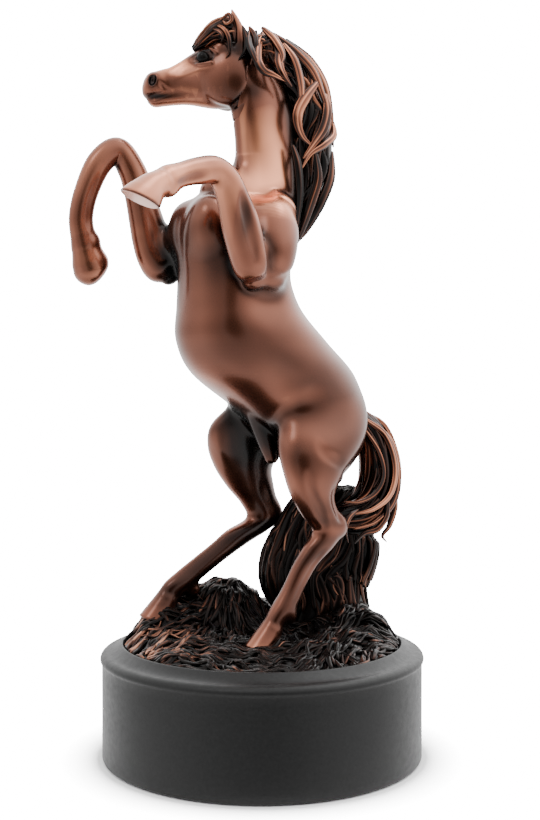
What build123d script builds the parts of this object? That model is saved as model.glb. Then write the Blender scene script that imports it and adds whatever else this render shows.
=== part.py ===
"""A rearing bronze horse on a round black plinth, in millimetres.

The origin is the centre of the plinth's underside and +Z is up. The horse faces -X, so its left side faces -Y.
The horse is built as a foundry builds one: separate castings that meet at chased joints, each held by steel pins.
"""

import os

from build123d import *

# ---------------------------------------------------------------- driving dimensions
PLINTH_RADIUS = 62.5
PLINTH_TOP = 44.6
PLINTH_UNDERSIDE = 0.4
FELT_THICKNESS = 1.5
FELT_RADIUS = 59.0
RIM_HEIGHT = 38.2
RIM_OVERHANG = 0.7
RECESS_RADIUS = 54.2
RECESS_FLOOR = 42.0
GROUND_RADIUS = 54.0
GROUND_EDGE = 45.2
GROUND_CEILING = 62.0

CASTING_WALL = 3.5
CORE_HOLE_RADIUS = 6.0
CORE_HOLE_LENGTH = 26.0
PIN_RADIUS = 1.5
PIN_LENGTH = 11.0
FIT_GAP = 0.05
EYE_RADIUS = 2.3

SCREW_CIRCLE = 36.0
SCREW_COUNT = 3
SCREW_RADIUS = 2.0
SCREW_HEAD_RADIUS = 3.8
SCREW_HEAD_HEIGHT = 2.6
SCREW_SEAT = 30.0
SCREW_TIP = 44.0
SCREW_START_ANGLE = 60.0
SCREW_SLOT_WIDTH = 1.0
SCREW_SLOT_DEPTH = 1.0
SCREW_CLEARANCE = 0.25
SCREW_TIP_GAP = 0.2
COUNTERBORE_CLEARANCE = 0.5
WASHER_RADIUS = 5.0
WASHER_THICKNESS = 1.0
WASHER_CLEARANCE = 0.2
STUD_RADIUS = 1.5
STUD_LOW = 32.0
NUT_RADIUS = 3.0
NUT_THICKNESS = 2.2
NUT_POCKET_RADIUS = 7.0
NUT_POCKET_FLOOR = 30.0

MID_Y = 3.0  # the torso's plane of symmetry
LATERAL = Vector(0, 1, 0)

# Each station is (x, y, z, half size across, half size fore and aft) of one oval section, in order along the part.
TORSO = [
    (33, MID_Y, 113, 8, 8),
    (29, MID_Y, 121, 17, 16.5),
    (19.5, MID_Y, 135, 22.5, 21.8),
    (7.4, MID_Y, 149, 23.5, 26.8),
    (-2.5, MID_Y, 162, 22.5, 26.6),
    (-8.6, MID_Y, 175, 21, 23.6),
    (-11.2, MID_Y, 189, 20, 22),
    (-12, MID_Y, 202, 18.5, 23),
    (-12.5, MID_Y, 212, 15.5, 19),
    (-13.5, MID_Y, 219.5, 9, 10.5),
]
NECK = [
    (-7, MID_Y, 197, 15, 16),
    (-1, MID_Y, 208, 13.5, 16.5),
    (3, MID_Y, 220, 10.5, 14.5),
    (4.8, MID_Y, 232, 8.6, 13.5),
    (4.8, MID_Y, 244, 7.8, 13),
    (3, MID_Y + 0.5, 256, 7.4, 12.5),
    (-1.5, MID_Y + 1.5, 266, 7, 11.4),
    (-6, MID_Y + 3, 273.5, 5.5, 8),
]
# The head is turned to the horse's right: its stations are (forward, sideways, height, ...) in its own plane.
HEAD_TURN = 30.0
HEAD_PIVOT = Vector(1.0, 1.7, 0)
HEAD = [
    (4.5, 0, 268.5, 6.2, 8.6),
    (9, 0, 267.2, 7.6, 12),
    (14.5, 0, 266.4, 8.4, 12.4),
    (21, 0, 265.6, 8.2, 11.4),
    (27.5, 0, 263.8, 6.8, 8.4),
    (33.5, 0, 262.6, 5.3, 6.5),
    (39, 0, 261.4, 5, 6.1),
    (43.5, 0, 260.2, 4.8, 5.4),
    (46.3, 0, 259.6, 3.0, 3.2),
]
EAR = [
    (8.8, 276, 2.6, 2.4),
    (9.5, 281, 2.8, 2.2),
    (10.6, 284.6, 1.9, 1.6),
    (11.4, 287.8, 0.5, 0.5),
]
EAR_SPREAD = 4.4
EYE_FORWARD = 21.3
EYE_SPREAD = 5.7
EYE_HEIGHT = 272.4
FORELOCK = [
    (8, 0, 280, 4, 3),
    (12.5, 0, 282, 5.5, 4),
    (17.5, 0, 281, 6, 4.2),
    (22.5, 0, 277.8, 5, 3.6),
    (27, 0, 273.8, 2.2, 1.6),
]
MANE = [
    (-5, MID_Y + 2, 280, 4, 3),
    (4, MID_Y, 277.6, 6, 5),
    (14, MID_Y, 269.6, 7.5, 7),
    (21.8, MID_Y - 1, 256, 8, 8.4),
    (23.5, MID_Y - 1.5, 240, 8, 8.4),
    (22, MID_Y - 1.5, 224.5, 7.5, 7.4),
    (18, MID_Y - 1, 211, 5.5, 5),
    (14.5, MID_Y - 0.5, 200, 1.4, 1.2),
]
LEFT_SHOULDER = [
    (2, -12, 213, 4, 5),
    (-2.5, -14.5, 206, 7, 9),
    (-6, -16, 198, 8.5, 10.5),
    (-9.5, -17, 190, 8, 10),
    (-12, -17.5, 183.5, 5.5, 7),
    (-12.5, -17.5, 180, 2.5, 3.5),
]
LEFT_FORELEG = [
    (-9.5, -17.5, 180.5, 2.5, 3.5),
    (-12, -19.5, 184.5, 6, 7.5),
    (-15.5, -21.5, 189.5, 6.6, 8.6),
    (-19, -23, 196, 6.2, 8),
    (-23, -24.8, 204, 5.6, 6.8),
    (-26.3, -26.2, 211.5, 5, 5.6),
    (-30, -27.4, 218.3, 4.7, 5.2),
    (-36, -28.8, 221.6, 4.4, 4.9),
    (-44, -31.1, 219.6, 4, 4.4),
    (-52, -33.2, 216.8, 4.2, 4.7),
    (-57.5, -34.8, 214.2, 4.4, 5),
    (-62.5, -36.5, 210.8, 4.8, 5.6),
    (-67, -38.4, 206.5, 6.0, 6.8),
]
RIGHT_SHOULDER = [
    (-7, MID_Y + 8, 206, 7, 10),
    (-15, MID_Y + 11.5, 203, 7.5, 10.5),
    (-23, MID_Y + 15, 199.5, 7.5, 10),
    (-30, MID_Y + 18, 196, 7, 9),
    (-36.5, MID_Y + 20.5, 193, 5.5, 6.5),
    (-40, MID_Y + 21.5, 191.5, 2.5, 3),
]
RIGHT_FORELEG = [
    (-30, MID_Y + 18.5, 187, 2.5, 3),
    (-32, MID_Y + 19.4, 190, 6, 7),
    (-34.5, MID_Y + 20.2, 195, 6.4, 8),
    (-36.6, MID_Y + 21, 202, 6.2, 7.6),
    (-38.5, MID_Y + 21.6, 210, 5.8, 7),
    (-41, MID_Y + 22.2, 219.5, 5.4, 6.2),
    (-44.6, MID_Y + 22.9, 228.4, 5, 5.4),
    (-50.4, MID_Y + 23.4, 234.8, 4.7, 4.3),
    (-56.8, MID_Y + 23.8, 229.6, 4.5, 4.8),
    (-61, MID_Y + 24.2, 218.5, 4.1, 4.6),
    (-62.8, MID_Y + 24.6, 209, 4.2, 4.8),
    (-62, MID_Y + 25, 201, 4.2, 4.7),
    (-60, MID_Y + 25.3, 193.5, 5, 6.2),
    (-60.3, MID_Y + 25.6, 183.4, 5.2, 5.8),
]
LEFT_HIND_LEG = [
    (24, -6, 144, 9, 15),
    (21, -12.5, 131, 10.5, 17),
    (16.5, -16, 119.5, 9.8, 15.7),
    (12.5, -17.5, 109.5, 8, 12),
    (12.5, -17.3, 101, 6.5, 9),
    (16.5, -17, 94, 5.4, 7.4),
    (20.3, -16.6, 88.5, 5, 6.9),
    (16.2, -16.2, 82.5, 4.4, 5.7),
    (9.7, -15.8, 75, 3.8, 4.6),
    (4.8, -15.4, 66.5, 3.7, 4.3),
    (0.3, -15, 58.5, 4, 4.7),
    (-3.5, -14.8, 53, 4, 4.5),
    (-6.8, -14.6, 48, 5, 5.6),
    (-8.8, -14.5, 43.5, 5.6, 6.4),
]
RIGHT_HIND_LEG = [
    (20, MID_Y + 9, 144, 9, 15),
    (11.5, MID_Y + 15, 132, 10.5, 17),
    (6, MID_Y + 18.5, 121, 9.8, 16.2),
    (4.5, MID_Y + 19.8, 111.5, 8.2, 12.6),
    (7.5, MID_Y + 20, 103, 6.8, 9.6),
    (11.8, MID_Y + 19.8, 96, 5.8, 8),
    (13, MID_Y + 19.3, 90, 5.2, 7),
    (6.5, MID_Y + 19.5, 85.4, 4.5, 5.8),
    (-2, MID_Y + 19.8, 80.2, 3.9, 4.8),
    (-10, MID_Y + 20.2, 75.2, 3.8, 4.5),
    (-17.5, MID_Y + 20.6, 70.2, 4, 4.6),
    (-24, MID_Y + 21, 65.4, 4.2, 4.8),
    (-28.5, MID_Y + 21.4, 61, 4.1, 4.5),
    (-32, MID_Y + 21.8, 56.5, 5, 5.4),
    (-34.5, MID_Y + 22, 52.5, 5.6, 6),
]
TAIL = [
    (38, MID_Y, 130, 3.5, 4),
    (45, MID_Y - 0.5, 131.4, 4.5, 4.4),
    (50.5, MID_Y - 2, 125.5, 5.5, 4.8),
    (53.2, MID_Y - 4, 116, 6.5, 5.6),
    (53, MID_Y - 6, 105, 7, 7),
    (49, MID_Y - 7, 96, 6.5, 8),
    (42, MID_Y - 7, 91, 5.5, 7.4),
    (33.5, MID_Y - 5.5, 90.5, 4, 4.5),
]
# The stump's stations are (x, y, z, half width, half thickness), with the width along STUMP_SIDE.
STUMP_SIDE = Vector(0.866, -0.5, 0)
STUMP = [
    (31, 10.5, 42.5, 26, 13),
    (32, 10, 50, 23, 11),
    (33, 9.5, 62, 22, 10),
    (34, 9, 76, 21.5, 9.5),
    (34, 9.5, 86, 19, 8.5),
    (32.5, 10.5, 93, 14, 6.5),
]
# Each mound is (x, y, base radius, top height above the plinth's underside).
MOUNDS = [
    (-30, 24, 22, 56),
    (-15, 27, 20, 59.5),
    (4, 21, 24, 61),
    (34, -18, 24, 55),
    (38, 8, 20, 56),
    (-14, -12, 30, 48),
]
# Each stud is (x, y, height of its upper end).
HOOF_STUDS = [(-7.4, -14.5, 50.5), (-33.4, MID_Y + 21.8, 58.0)]
# Each hole or pin is the middle of its length and its direction.
CORE_HOLE = ((-3, MID_Y, 208), (0.25, 0, 1))
NECK_PINS = [((4, MID_Y - 5, 207), (0.35, 0, 1)), ((4, MID_Y + 5, 207), (0.35, 0, 1))]
HEAD_PINS = [((-8.5, 7.2, 266), (-0.87, 0.5, -0.1))]
MANE_PINS = [((15, MID_Y - 1, 252), (1, 0, 0.1)), ((16.5, MID_Y - 1, 236), (1, 0, 0))]
FORELEG_PINS = [((-6, -14.5, 196), (0.1, 1, 0.1)), ((-24.5, MID_Y + 15, 200), (-1, 0.6, 0))]
HIND_LEG_PINS = [((16, -18, 126), (0, 1, 0.5)), ((10, MID_Y + 21, 128), (0, -1, 0.5))]
TAIL_PINS = [((42.5, MID_Y, 131), (1, 0, 0.2))]
STUMP_PINS = [((33, 9.5, 53), (0, 0, 1))]


# ---------------------------------------------------------------- shape helpers
def smooth_step(before, start, end, after, t):
    """A number a share t of the way from start to end, on a smooth curve through its neighbours."""
    leaving = (end - before) / 2
    arriving = (after - start) / 2
    value = (2 * t**3 - 3 * t**2 + 1) * start + (t**3 - 2 * t**2 + t) * leaving
    return value + (3 * t**2 - 2 * t**3) * end + (t**3 - t**2) * arriving


def doubled(stations):
    """The stations with one more between each two, on a smooth curve."""
    finer = []
    last = len(stations) - 1
    for i in range(last):
        around = (stations[max(i - 1, 0)], stations[i], stations[i + 1], stations[min(i + 2, last)])
        finer.append(stations[i])
        finer.append(tuple(smooth_step(*numbers, 0.5) for numbers in zip(*around)))
    finer.append(stations[last])
    return finer


def oval_sections(stations, side, shrink, level):
    """Oval faces square to the line of their centres or, if level, all horizontal.

    A level section is stretched fore and aft so that the part keeps its stated thickness where it leans.
    """
    centres = [Vector(*station[:3]) for station in stations]
    faces = []
    for i, (centre, station) in enumerate(zip(centres, stations)):
        before = centres[max(i - 1, 0)]
        after = centres[min(i + 1, len(centres) - 1)]
        along = (after - before).normalized()
        across = station[3] - shrink
        deep = station[4] - shrink
        if level:
            deep = deep / max(abs(along.Z), 0.5)
            along = Vector(0, 0, 1)
        x_dir = (side - along * side.dot(along)).normalized()
        plane = Plane(origin=centre, x_dir=x_dir, z_dir=along)
        faces.append(plane * Ellipse(across, deep))
    return faces


def loft_along(stations, side=LATERAL, shrink=0.0, level=False):
    """A closed solid with one smooth skin through its sections."""
    return loft(oval_sections(stations, side, shrink, level))


def limb(stations, level=False):
    """A closed solid with short straight skins between many sections, which a sharp bend doesn't make bulge."""
    return loft(oval_sections(doubled(stations), LATERAL, 0.0, level), ruled=True)


def largest(shape):
    """The one casting that a cut leaves, without any loose fragment."""
    return max(shape.solids(), key=lambda solid: solid.volume)


def cut_from(casting, *tools):
    """A casting with each tool's shape taken away, as one solid."""
    for tool in tools:
        casting = largest(casting - tool)
    return casting


def rod(middle, direction, radius, length):
    """A cylinder about a line through its middle."""
    plane = Plane(origin=Vector(*middle), z_dir=Vector(*direction).normalized())
    return plane * Cylinder(radius, length)


def cylinder_at(x, y, low, high, radius):
    """An upright cylinder between two heights."""
    upright = Cylinder(radius, high - low, align=(Align.CENTER, Align.CENTER, Align.MIN))
    return Pos(x, y, low) * upright


def around_circle(radius, count, start_angle):
    """Evenly spaced points on a circle about the plinth's axis."""
    return [Vector(radius, 0, 0).rotate(Axis.Z, start_angle + 360 / count * i) for i in range(count)]


def head_point(forward, sideways, height):
    """A point of the head's own plane, turned into the horse's frame."""
    turned = Vector(-forward, sideways, 0).rotate(Axis.Z, -HEAD_TURN)
    return Vector(turned.X + HEAD_PIVOT.X, turned.Y + HEAD_PIVOT.Y, height)


def head_loft(stations):
    """A loft through stations given in the head's own plane."""
    placed = []
    for forward, sideways, height, across, deep in stations:
        point = head_point(forward, sideways, height)
        placed.append((point.X, point.Y, point.Z, across, deep))
    return loft_along(placed, side=LATERAL.rotate(Axis.Z, -HEAD_TURN))


def pin_rods(pins):
    """The steel pins of one joint."""
    return [rod(middle, direction, PIN_RADIUS, PIN_LENGTH) for middle, direction in pins]


def pin_holes(pins):
    """The holes for one joint's pins, a hair wider and longer than the pins."""
    return [
        rod(middle, direction, PIN_RADIUS + FIT_GAP, PIN_LENGTH + 2 * FIT_GAP)
        for middle, direction in pins
    ]


# ---------------------------------------------------------------- the base
def plinth_profile():
    """The turned outline: straight wall, small rim, hollowed shoulder and the lip round the recess."""
    rim = PLINTH_RADIUS + RIM_OVERHANG
    with BuildSketch(Plane.XZ) as sketch:
        with BuildLine():
            Polyline(
                (0, FELT_THICKNESS),
                (FELT_RADIUS + FIT_GAP, FELT_THICKNESS),
                (FELT_RADIUS + FIT_GAP, PLINTH_UNDERSIDE),
                (PLINTH_RADIUS - 0.8, PLINTH_UNDERSIDE),
                (PLINTH_RADIUS, PLINTH_UNDERSIDE + 0.8),
                (PLINTH_RADIUS, RIM_HEIGHT - 0.6),
                (rim, RIM_HEIGHT),
                (rim, RIM_HEIGHT + 0.6),
            )
            ThreePointArc(
                (rim, RIM_HEIGHT + 0.6),
                (rim - 0.9, RIM_HEIGHT + 2.2),
                (rim - 3.2, RIM_HEIGHT + 3.2),
            )
            ThreePointArc(
                (rim - 3.2, RIM_HEIGHT + 3.2),
                (rim - 5.8, RIM_HEIGHT + 4.4),
                (rim - 7.9, PLINTH_TOP - 0.3),
            )
            Polyline(
                (rim - 7.9, PLINTH_TOP - 0.3),
                (rim - 8.3, PLINTH_TOP),
                (RECESS_RADIUS, PLINTH_TOP),
                (RECESS_RADIUS, RECESS_FLOOR),
                (0, RECESS_FLOOR),
                (0, FELT_THICKNESS),
            )
        make_face()
    return sketch.sketch


def screw_points():
    """Where the plinth's screws stand."""
    return around_circle(SCREW_CIRCLE, SCREW_COUNT, SCREW_START_ANGLE)


def plinth():
    """The turned base, counterbored from below for its screws and pocketed on top for the hoof studs' nuts."""
    body = revolve(plinth_profile(), Axis.Z)
    for point in screw_points():
        body -= cylinder_at(point.X, point.Y, 0, SCREW_SEAT, WASHER_RADIUS + COUNTERBORE_CLEARANCE)
        body -= cylinder_at(point.X, point.Y, 0, PLINTH_TOP, SCREW_RADIUS + SCREW_CLEARANCE)
    for x, y, _ in HOOF_STUDS:
        body -= cylinder_at(x, y, NUT_POCKET_FLOOR, PLINTH_TOP, NUT_POCKET_RADIUS)
    return largest(body)


def mound(x, y, radius, top):
    """One low hill with a rounded crown and a foot that runs out flat."""
    rise = top - RECESS_FLOOR
    with BuildSketch(Plane.XZ) as sketch:
        with BuildLine():
            Spline(
                (0, rise),
                (radius * 0.35, rise * 0.8),
                (radius * 0.7, rise * 0.32),
                (radius, 0),
                tangents=[(1, 0), (1, -0.25)],
            )
            Polyline((radius, 0), (0, 0), (0, rise))
        make_face()
    return Pos(x, y, RECESS_FLOOR) * revolve(sketch.sketch, Axis.Z)


def ground():
    """The grassy ground: a disc with low hills, tapped for the plinth's screws and drilled for the hoof studs."""
    body = cylinder_at(0, 0, RECESS_FLOOR, GROUND_EDGE, GROUND_RADIUS)
    for hill in MOUNDS:
        body += mound(*hill)
    body = body & cylinder_at(0, 0, RECESS_FLOOR, GROUND_CEILING, GROUND_RADIUS)
    for point in screw_points():
        body -= cylinder_at(point.X, point.Y, 0, SCREW_TIP, SCREW_RADIUS)
    for x, y, top in HOOF_STUDS:
        body -= cylinder_at(x, y, 0, top + FIT_GAP, STUD_RADIUS + FIT_GAP)
    return largest(body)


def base_screws():
    """Pan-head screws that pull the ground casting down on to the plinth."""
    screws = []
    seat = SCREW_SEAT - WASHER_THICKNESS
    head_low = seat - SCREW_HEAD_HEIGHT
    for point in screw_points():
        shank = cylinder_at(point.X, point.Y, seat, SCREW_TIP - SCREW_TIP_GAP, SCREW_RADIUS - FIT_GAP)
        head = cylinder_at(point.X, point.Y, head_low, seat, SCREW_HEAD_RADIUS)
        slot_tool = Box(3 * SCREW_HEAD_RADIUS, SCREW_SLOT_WIDTH, 2 * SCREW_SLOT_DEPTH)
        slot = Pos(point.X, point.Y, head_low) * slot_tool
        screws.append(largest(shank + head - slot))
    return screws


def washers(points, top, hole_radius):
    """Plain washers under a set of heads or nuts."""
    rings = []
    for x, y in points:
        disc = cylinder_at(x, y, top - WASHER_THICKNESS, top, WASHER_RADIUS)
        rings.append(largest(disc - cylinder_at(x, y, 0, PLINTH_TOP, hole_radius)))
    return rings


def hoof_studs():
    """The threaded rods that carry the horse's weight into the ground casting."""
    return [cylinder_at(x, y, STUD_LOW, top, STUD_RADIUS) for x, y, top in HOOF_STUDS]


def hoof_nuts():
    """A hexagon nut on each stud, drawn up under the ground casting."""
    nuts = []
    low = RECESS_FLOOR - WASHER_THICKNESS - NUT_THICKNESS
    for x, y, _ in HOOF_STUDS:
        hexagon = extrude(Pos(x, y, low) * RegularPolygon(NUT_RADIUS, 6), NUT_THICKNESS)
        hole = cylinder_at(x, y, 0, PLINTH_TOP, STUD_RADIUS + FIT_GAP)
        nuts.append(largest(hexagon - hole))
    return nuts


# ---------------------------------------------------------------- the horse
def ear(side):
    """One pricked ear on the head's own side."""
    return head_loft([(f, side * EAR_SPREAD, h, across, deep) for f, h, across, deep in EAR])


def eye(side):
    """One round eye, let into its socket."""
    centre = head_point(EYE_FORWARD, side * EYE_SPREAD, EYE_HEIGHT)
    return Pos(centre.X, centre.Y, centre.Z) * Sphere(EYE_RADIUS)


def castings():
    """Every casting of the horse and its setting, each cut so that it meets its neighbours face to face."""
    torso_skin = loft_along(TORSO, level=True)
    neck_skin = loft_along(NECK, level=True)
    head_skin = head_loft(HEAD) + ear(-1) + ear(1)
    ground_solid = ground()
    left_eye = eye(-1)
    right_eye = eye(1)
    stud_holes = [
        cylinder_at(x, y, 0, top + FIT_GAP, STUD_RADIUS + FIT_GAP) for x, y, top in HOOF_STUDS
    ]

    cavity = loft_along(TORSO[1:-1], shrink=CASTING_WALL, level=True)
    core_hole = rod(*CORE_HOLE, CORE_HOLE_RADIUS, CORE_HOLE_LENGTH)
    torso_pins = NECK_PINS + FORELEG_PINS + HIND_LEG_PINS + TAIL_PINS

    parts = {}
    parts["torso_casting"] = cut_from(torso_skin, cavity, core_hole, *pin_holes(torso_pins))
    neck_pins = NECK_PINS + HEAD_PINS + MANE_PINS
    parts["neck_casting"] = cut_from(neck_skin, torso_skin, *pin_holes(neck_pins))
    head_solid = cut_from(head_skin, neck_skin, left_eye, right_eye)
    parts["head_casting"] = cut_from(head_solid, *pin_holes(HEAD_PINS))
    parts["left_eye"] = left_eye
    parts["right_eye"] = right_eye
    mane_solid = cut_from(loft_along(MANE), neck_skin, torso_skin, head_skin)
    parts["mane_casting"] = cut_from(mane_solid, *pin_holes(MANE_PINS))
    parts["forelock_casting"] = cut_from(head_loft(FORELOCK), head_skin, neck_skin, mane_solid)

    left_fore = cut_from(limb(LEFT_FORELEG) + limb(LEFT_SHOULDER), torso_skin, neck_skin)
    right_fore = cut_from(limb(RIGHT_FORELEG) + limb(RIGHT_SHOULDER), torso_skin, neck_skin)
    parts["left_foreleg_casting"] = cut_from(left_fore, *pin_holes(FORELEG_PINS))
    parts["right_foreleg_casting"] = cut_from(right_fore, *pin_holes(FORELEG_PINS))
    left_hind = cut_from(limb(LEFT_HIND_LEG, level=True), torso_skin, ground_solid)
    right_hind = cut_from(limb(RIGHT_HIND_LEG, level=True), torso_skin, ground_solid)
    hind_holes = pin_holes(HIND_LEG_PINS) + stud_holes
    parts["left_hind_leg_casting"] = cut_from(left_hind, *hind_holes)
    parts["right_hind_leg_casting"] = cut_from(right_hind, *hind_holes)

    tail_solid = cut_from(loft_along(TAIL), torso_skin, left_hind, right_hind)
    parts["tail_casting"] = cut_from(tail_solid, *pin_holes(TAIL_PINS))
    stump_skin = loft_along(STUMP, side=STUMP_SIDE, level=True)
    stump_solid = cut_from(stump_skin, ground_solid, left_hind, right_hind, tail_solid)
    parts["stump_casting"] = cut_from(stump_solid, *pin_holes(STUMP_PINS))
    parts["ground_casting"] = cut_from(ground_solid, *pin_holes(STUMP_PINS))
    return parts


def fixings():
    """The felt, screws, washers, studs, nuts and pins, the like ones grouped."""
    screw_spots = [(point.X, point.Y) for point in screw_points()]
    stud_spots = [(x, y) for x, y, _ in HOOF_STUDS]
    groups = {}
    groups["felt_pad"] = [felt_pad()]
    groups["base_screws"] = base_screws()
    groups["base_washers"] = washers(screw_spots, SCREW_SEAT, SCREW_RADIUS + WASHER_CLEARANCE)
    groups["hoof_studs"] = hoof_studs()
    groups["hoof_nuts"] = hoof_nuts()
    groups["hoof_washers"] = washers(stud_spots, RECESS_FLOOR, STUD_RADIUS + WASHER_CLEARANCE)
    groups["neck_pins"] = pin_rods(NECK_PINS)
    groups["head_pin"] = pin_rods(HEAD_PINS)
    groups["mane_pins"] = pin_rods(MANE_PINS)
    groups["foreleg_pins"] = pin_rods(FORELEG_PINS)
    groups["hind_leg_pins"] = pin_rods(HIND_LEG_PINS)
    groups["tail_pin"] = pin_rods(TAIL_PINS)
    groups["stump_pin"] = pin_rods(STUMP_PINS)
    return groups


def felt_pad():
    """The felt disc glued into the plinth's underside, over the counterbores of the screws."""
    return cylinder_at(0, 0, 0, FELT_THICKNESS, FELT_RADIUS)


def main():
    os.makedirs("parts", exist_ok=True)
    shapes = {"plinth": plinth()}
    shapes.update(castings())
    for name, solids in fixings().items():
        members = [shape.solids()[0] for shape in solids]
        shapes[name] = members[0] if len(members) == 1 else Compound(children=members)
    for name, shape in shapes.items():
        export_step(shape, f"parts/{name}.step")


main()
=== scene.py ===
"""The looks of the rearing bronze horse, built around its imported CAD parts.

Shapes are written in millimetres in the part's own frame and turned into metres when a mesh is made.
The horse faces -X, its left side faces -Y, and +Z is up.
"""

import math

import bpy
import numpy as np
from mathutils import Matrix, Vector


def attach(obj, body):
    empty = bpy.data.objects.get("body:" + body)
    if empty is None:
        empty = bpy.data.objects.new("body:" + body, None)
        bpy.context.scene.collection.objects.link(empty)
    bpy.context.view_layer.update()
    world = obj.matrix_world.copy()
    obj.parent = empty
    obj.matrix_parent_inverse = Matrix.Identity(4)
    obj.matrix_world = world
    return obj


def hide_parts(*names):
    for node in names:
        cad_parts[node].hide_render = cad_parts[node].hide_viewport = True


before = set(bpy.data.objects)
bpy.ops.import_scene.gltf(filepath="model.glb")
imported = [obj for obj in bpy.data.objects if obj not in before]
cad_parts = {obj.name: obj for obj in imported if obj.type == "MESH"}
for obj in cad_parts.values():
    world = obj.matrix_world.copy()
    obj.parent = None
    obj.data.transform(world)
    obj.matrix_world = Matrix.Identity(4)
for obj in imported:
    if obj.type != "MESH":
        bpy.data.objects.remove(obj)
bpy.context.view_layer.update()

MM = 0.001
FAR = 6.0
rng = np.random.default_rng(11)


# ---------------------------------------------------------------- curves and frames
def unit(v):
    v = np.asarray(v, float)
    return v / np.maximum(np.linalg.norm(v, axis=-1, keepdims=True), 1e-12)


def smooth_rows(rows, steps):
    """Rows of numbers with more between each two, on a smooth curve through them all."""
    rows = np.asarray(rows, float)
    padded = np.vstack([2 * rows[0] - rows[1], rows, 2 * rows[-1] - rows[-2]])
    parts = []
    for i in range(1, len(padded) - 2):
        before, start, end, after = padded[i - 1], padded[i], padded[i + 1], padded[i + 2]
        t = np.linspace(0, 1, steps, endpoint=False)[:, None]
        leaving = (end - before) / 2
        arriving = (after - start) / 2
        part = (2 * t**3 - 3 * t**2 + 1) * start + (t**3 - 2 * t**2 + t) * leaving
        parts.append(part + (3 * t**2 - 2 * t**3) * end + (t**3 - t**2) * arriving)
    parts.append(rows[-1:])
    return np.vstack(parts)


class Axes:
    """A set of right-angled axes with its own origin."""

    def __init__(self, origin, first, second, third):
        self.origin = np.asarray(origin, float)
        self.rows = np.array([first, second, third], float)

    def local(self, points):
        return (points - self.origin) @ self.rows.T

    def world(self, points):
        return np.asarray(points, float) @ self.rows + self.origin


TURN = math.radians(30)
# Upright parts are described as (height, across, fore and aft); the head as (forward, sideways, height).
UPRIGHT = Axes((0, 0, 0), (0, 0, 1), (0, 1, 0), (1, 0, 0))
HEAD = Axes(
    (1.0, 1.7, 0),
    (-math.cos(TURN), math.sin(TURN), 0),
    (math.sin(TURN), math.cos(TURN), 0),
    (0, 0, 1),
)
# The face's side details hang a little lower than the profile's.
FACE = Axes(HEAD.origin - (0, 0, 1.4), *HEAD.rows)
WORLD = Axes((0, 0, 0), (1, 0, 0), (0, 1, 0), (0, 0, 1))


def smooth_min(a, b, k):
    h = np.maximum(k - np.abs(a - b), 0) / k
    return np.minimum(a, b) - h * h * k * 0.25


def flat_end(sides, ends, edge):
    """The distance to a form cut off square, its edge rounded."""
    a = sides + edge
    b = ends + edge
    return np.sqrt(np.maximum(a, 0) ** 2 + np.maximum(b, 0) ** 2) - edge + np.minimum(np.maximum(a, b), 0)


# ---------------------------------------------------------------- solid shapes as distance fields
class Shape:
    """Something that changes a distance field inside its own box: it adds, cuts or presses a form."""

    blend = 2.0
    cuts = False

    def set_box(self, points, reach):
        points = np.atleast_2d(points)
        self.low = points.min(0) - reach
        self.high = points.max(0) + reach

    def apply(self, points, field):
        d = self.distance(points)
        if self.cuts:
            return -smooth_min(-field, d, self.blend)
        return smooth_min(field, d, self.blend)


class Trunk(Shape):
    """Oval sections stacked along one axis: rows of (along, centre 1, centre 2, half size 1, half size 2)."""

    def __init__(self, axes, rows, blend, power=2.0):
        self.axes = axes
        self.rows = smooth_rows(rows, 8)
        self.blend = blend
        self.power = power
        slope = np.gradient(self.rows[:, 1:3], self.rows[:, 0], axis=0)
        self.lean = 1 / np.sqrt(1 + (slope**2).sum(1))
        corners = []
        for row in self.rows:
            for su in (-1, 1):
                for sw in (-1, 1):
                    corners.append((row[0], row[1] + su * row[3], row[2] + sw * row[4]))
        self.set_box(axes.world(corners), blend + 9)

    def distance(self, points):
        local = self.axes.local(points)
        along = local[:, 0]
        table = self.rows
        sign = 1 if table[-1, 0] > table[0, 0] else -1
        key = sign * table[:, 0]
        at = np.clip(sign * along, key[0], key[-1])
        c1, c2, r1, r2 = (np.interp(at, key, table[:, i]) for i in range(1, 5))
        lean = np.interp(at, key, self.lean)
        x = np.abs(local[:, 1] - c1) / r1
        y = np.abs(local[:, 2] - c2) / r2
        small = np.minimum(r1, r2)
        z = (sign * along - at) / small
        n = self.power
        flat = np.sqrt(x * x + y * y) if n == 2.0 else (x**n + y**n) ** (1 / n)
        k0 = np.sqrt(flat * flat + z * z) + 1e-9
        gx = (x / np.maximum(flat, 1e-6)) ** (n - 1) / r1
        gy = (y / np.maximum(flat, 1e-6)) ** (n - 1) / r2
        k1 = np.sqrt(flat**2 * (gx**2 + gy**2) + (z / small) ** 2) + 1e-9
        return (k0 * (k0 - 1) / k1) * lean


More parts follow.
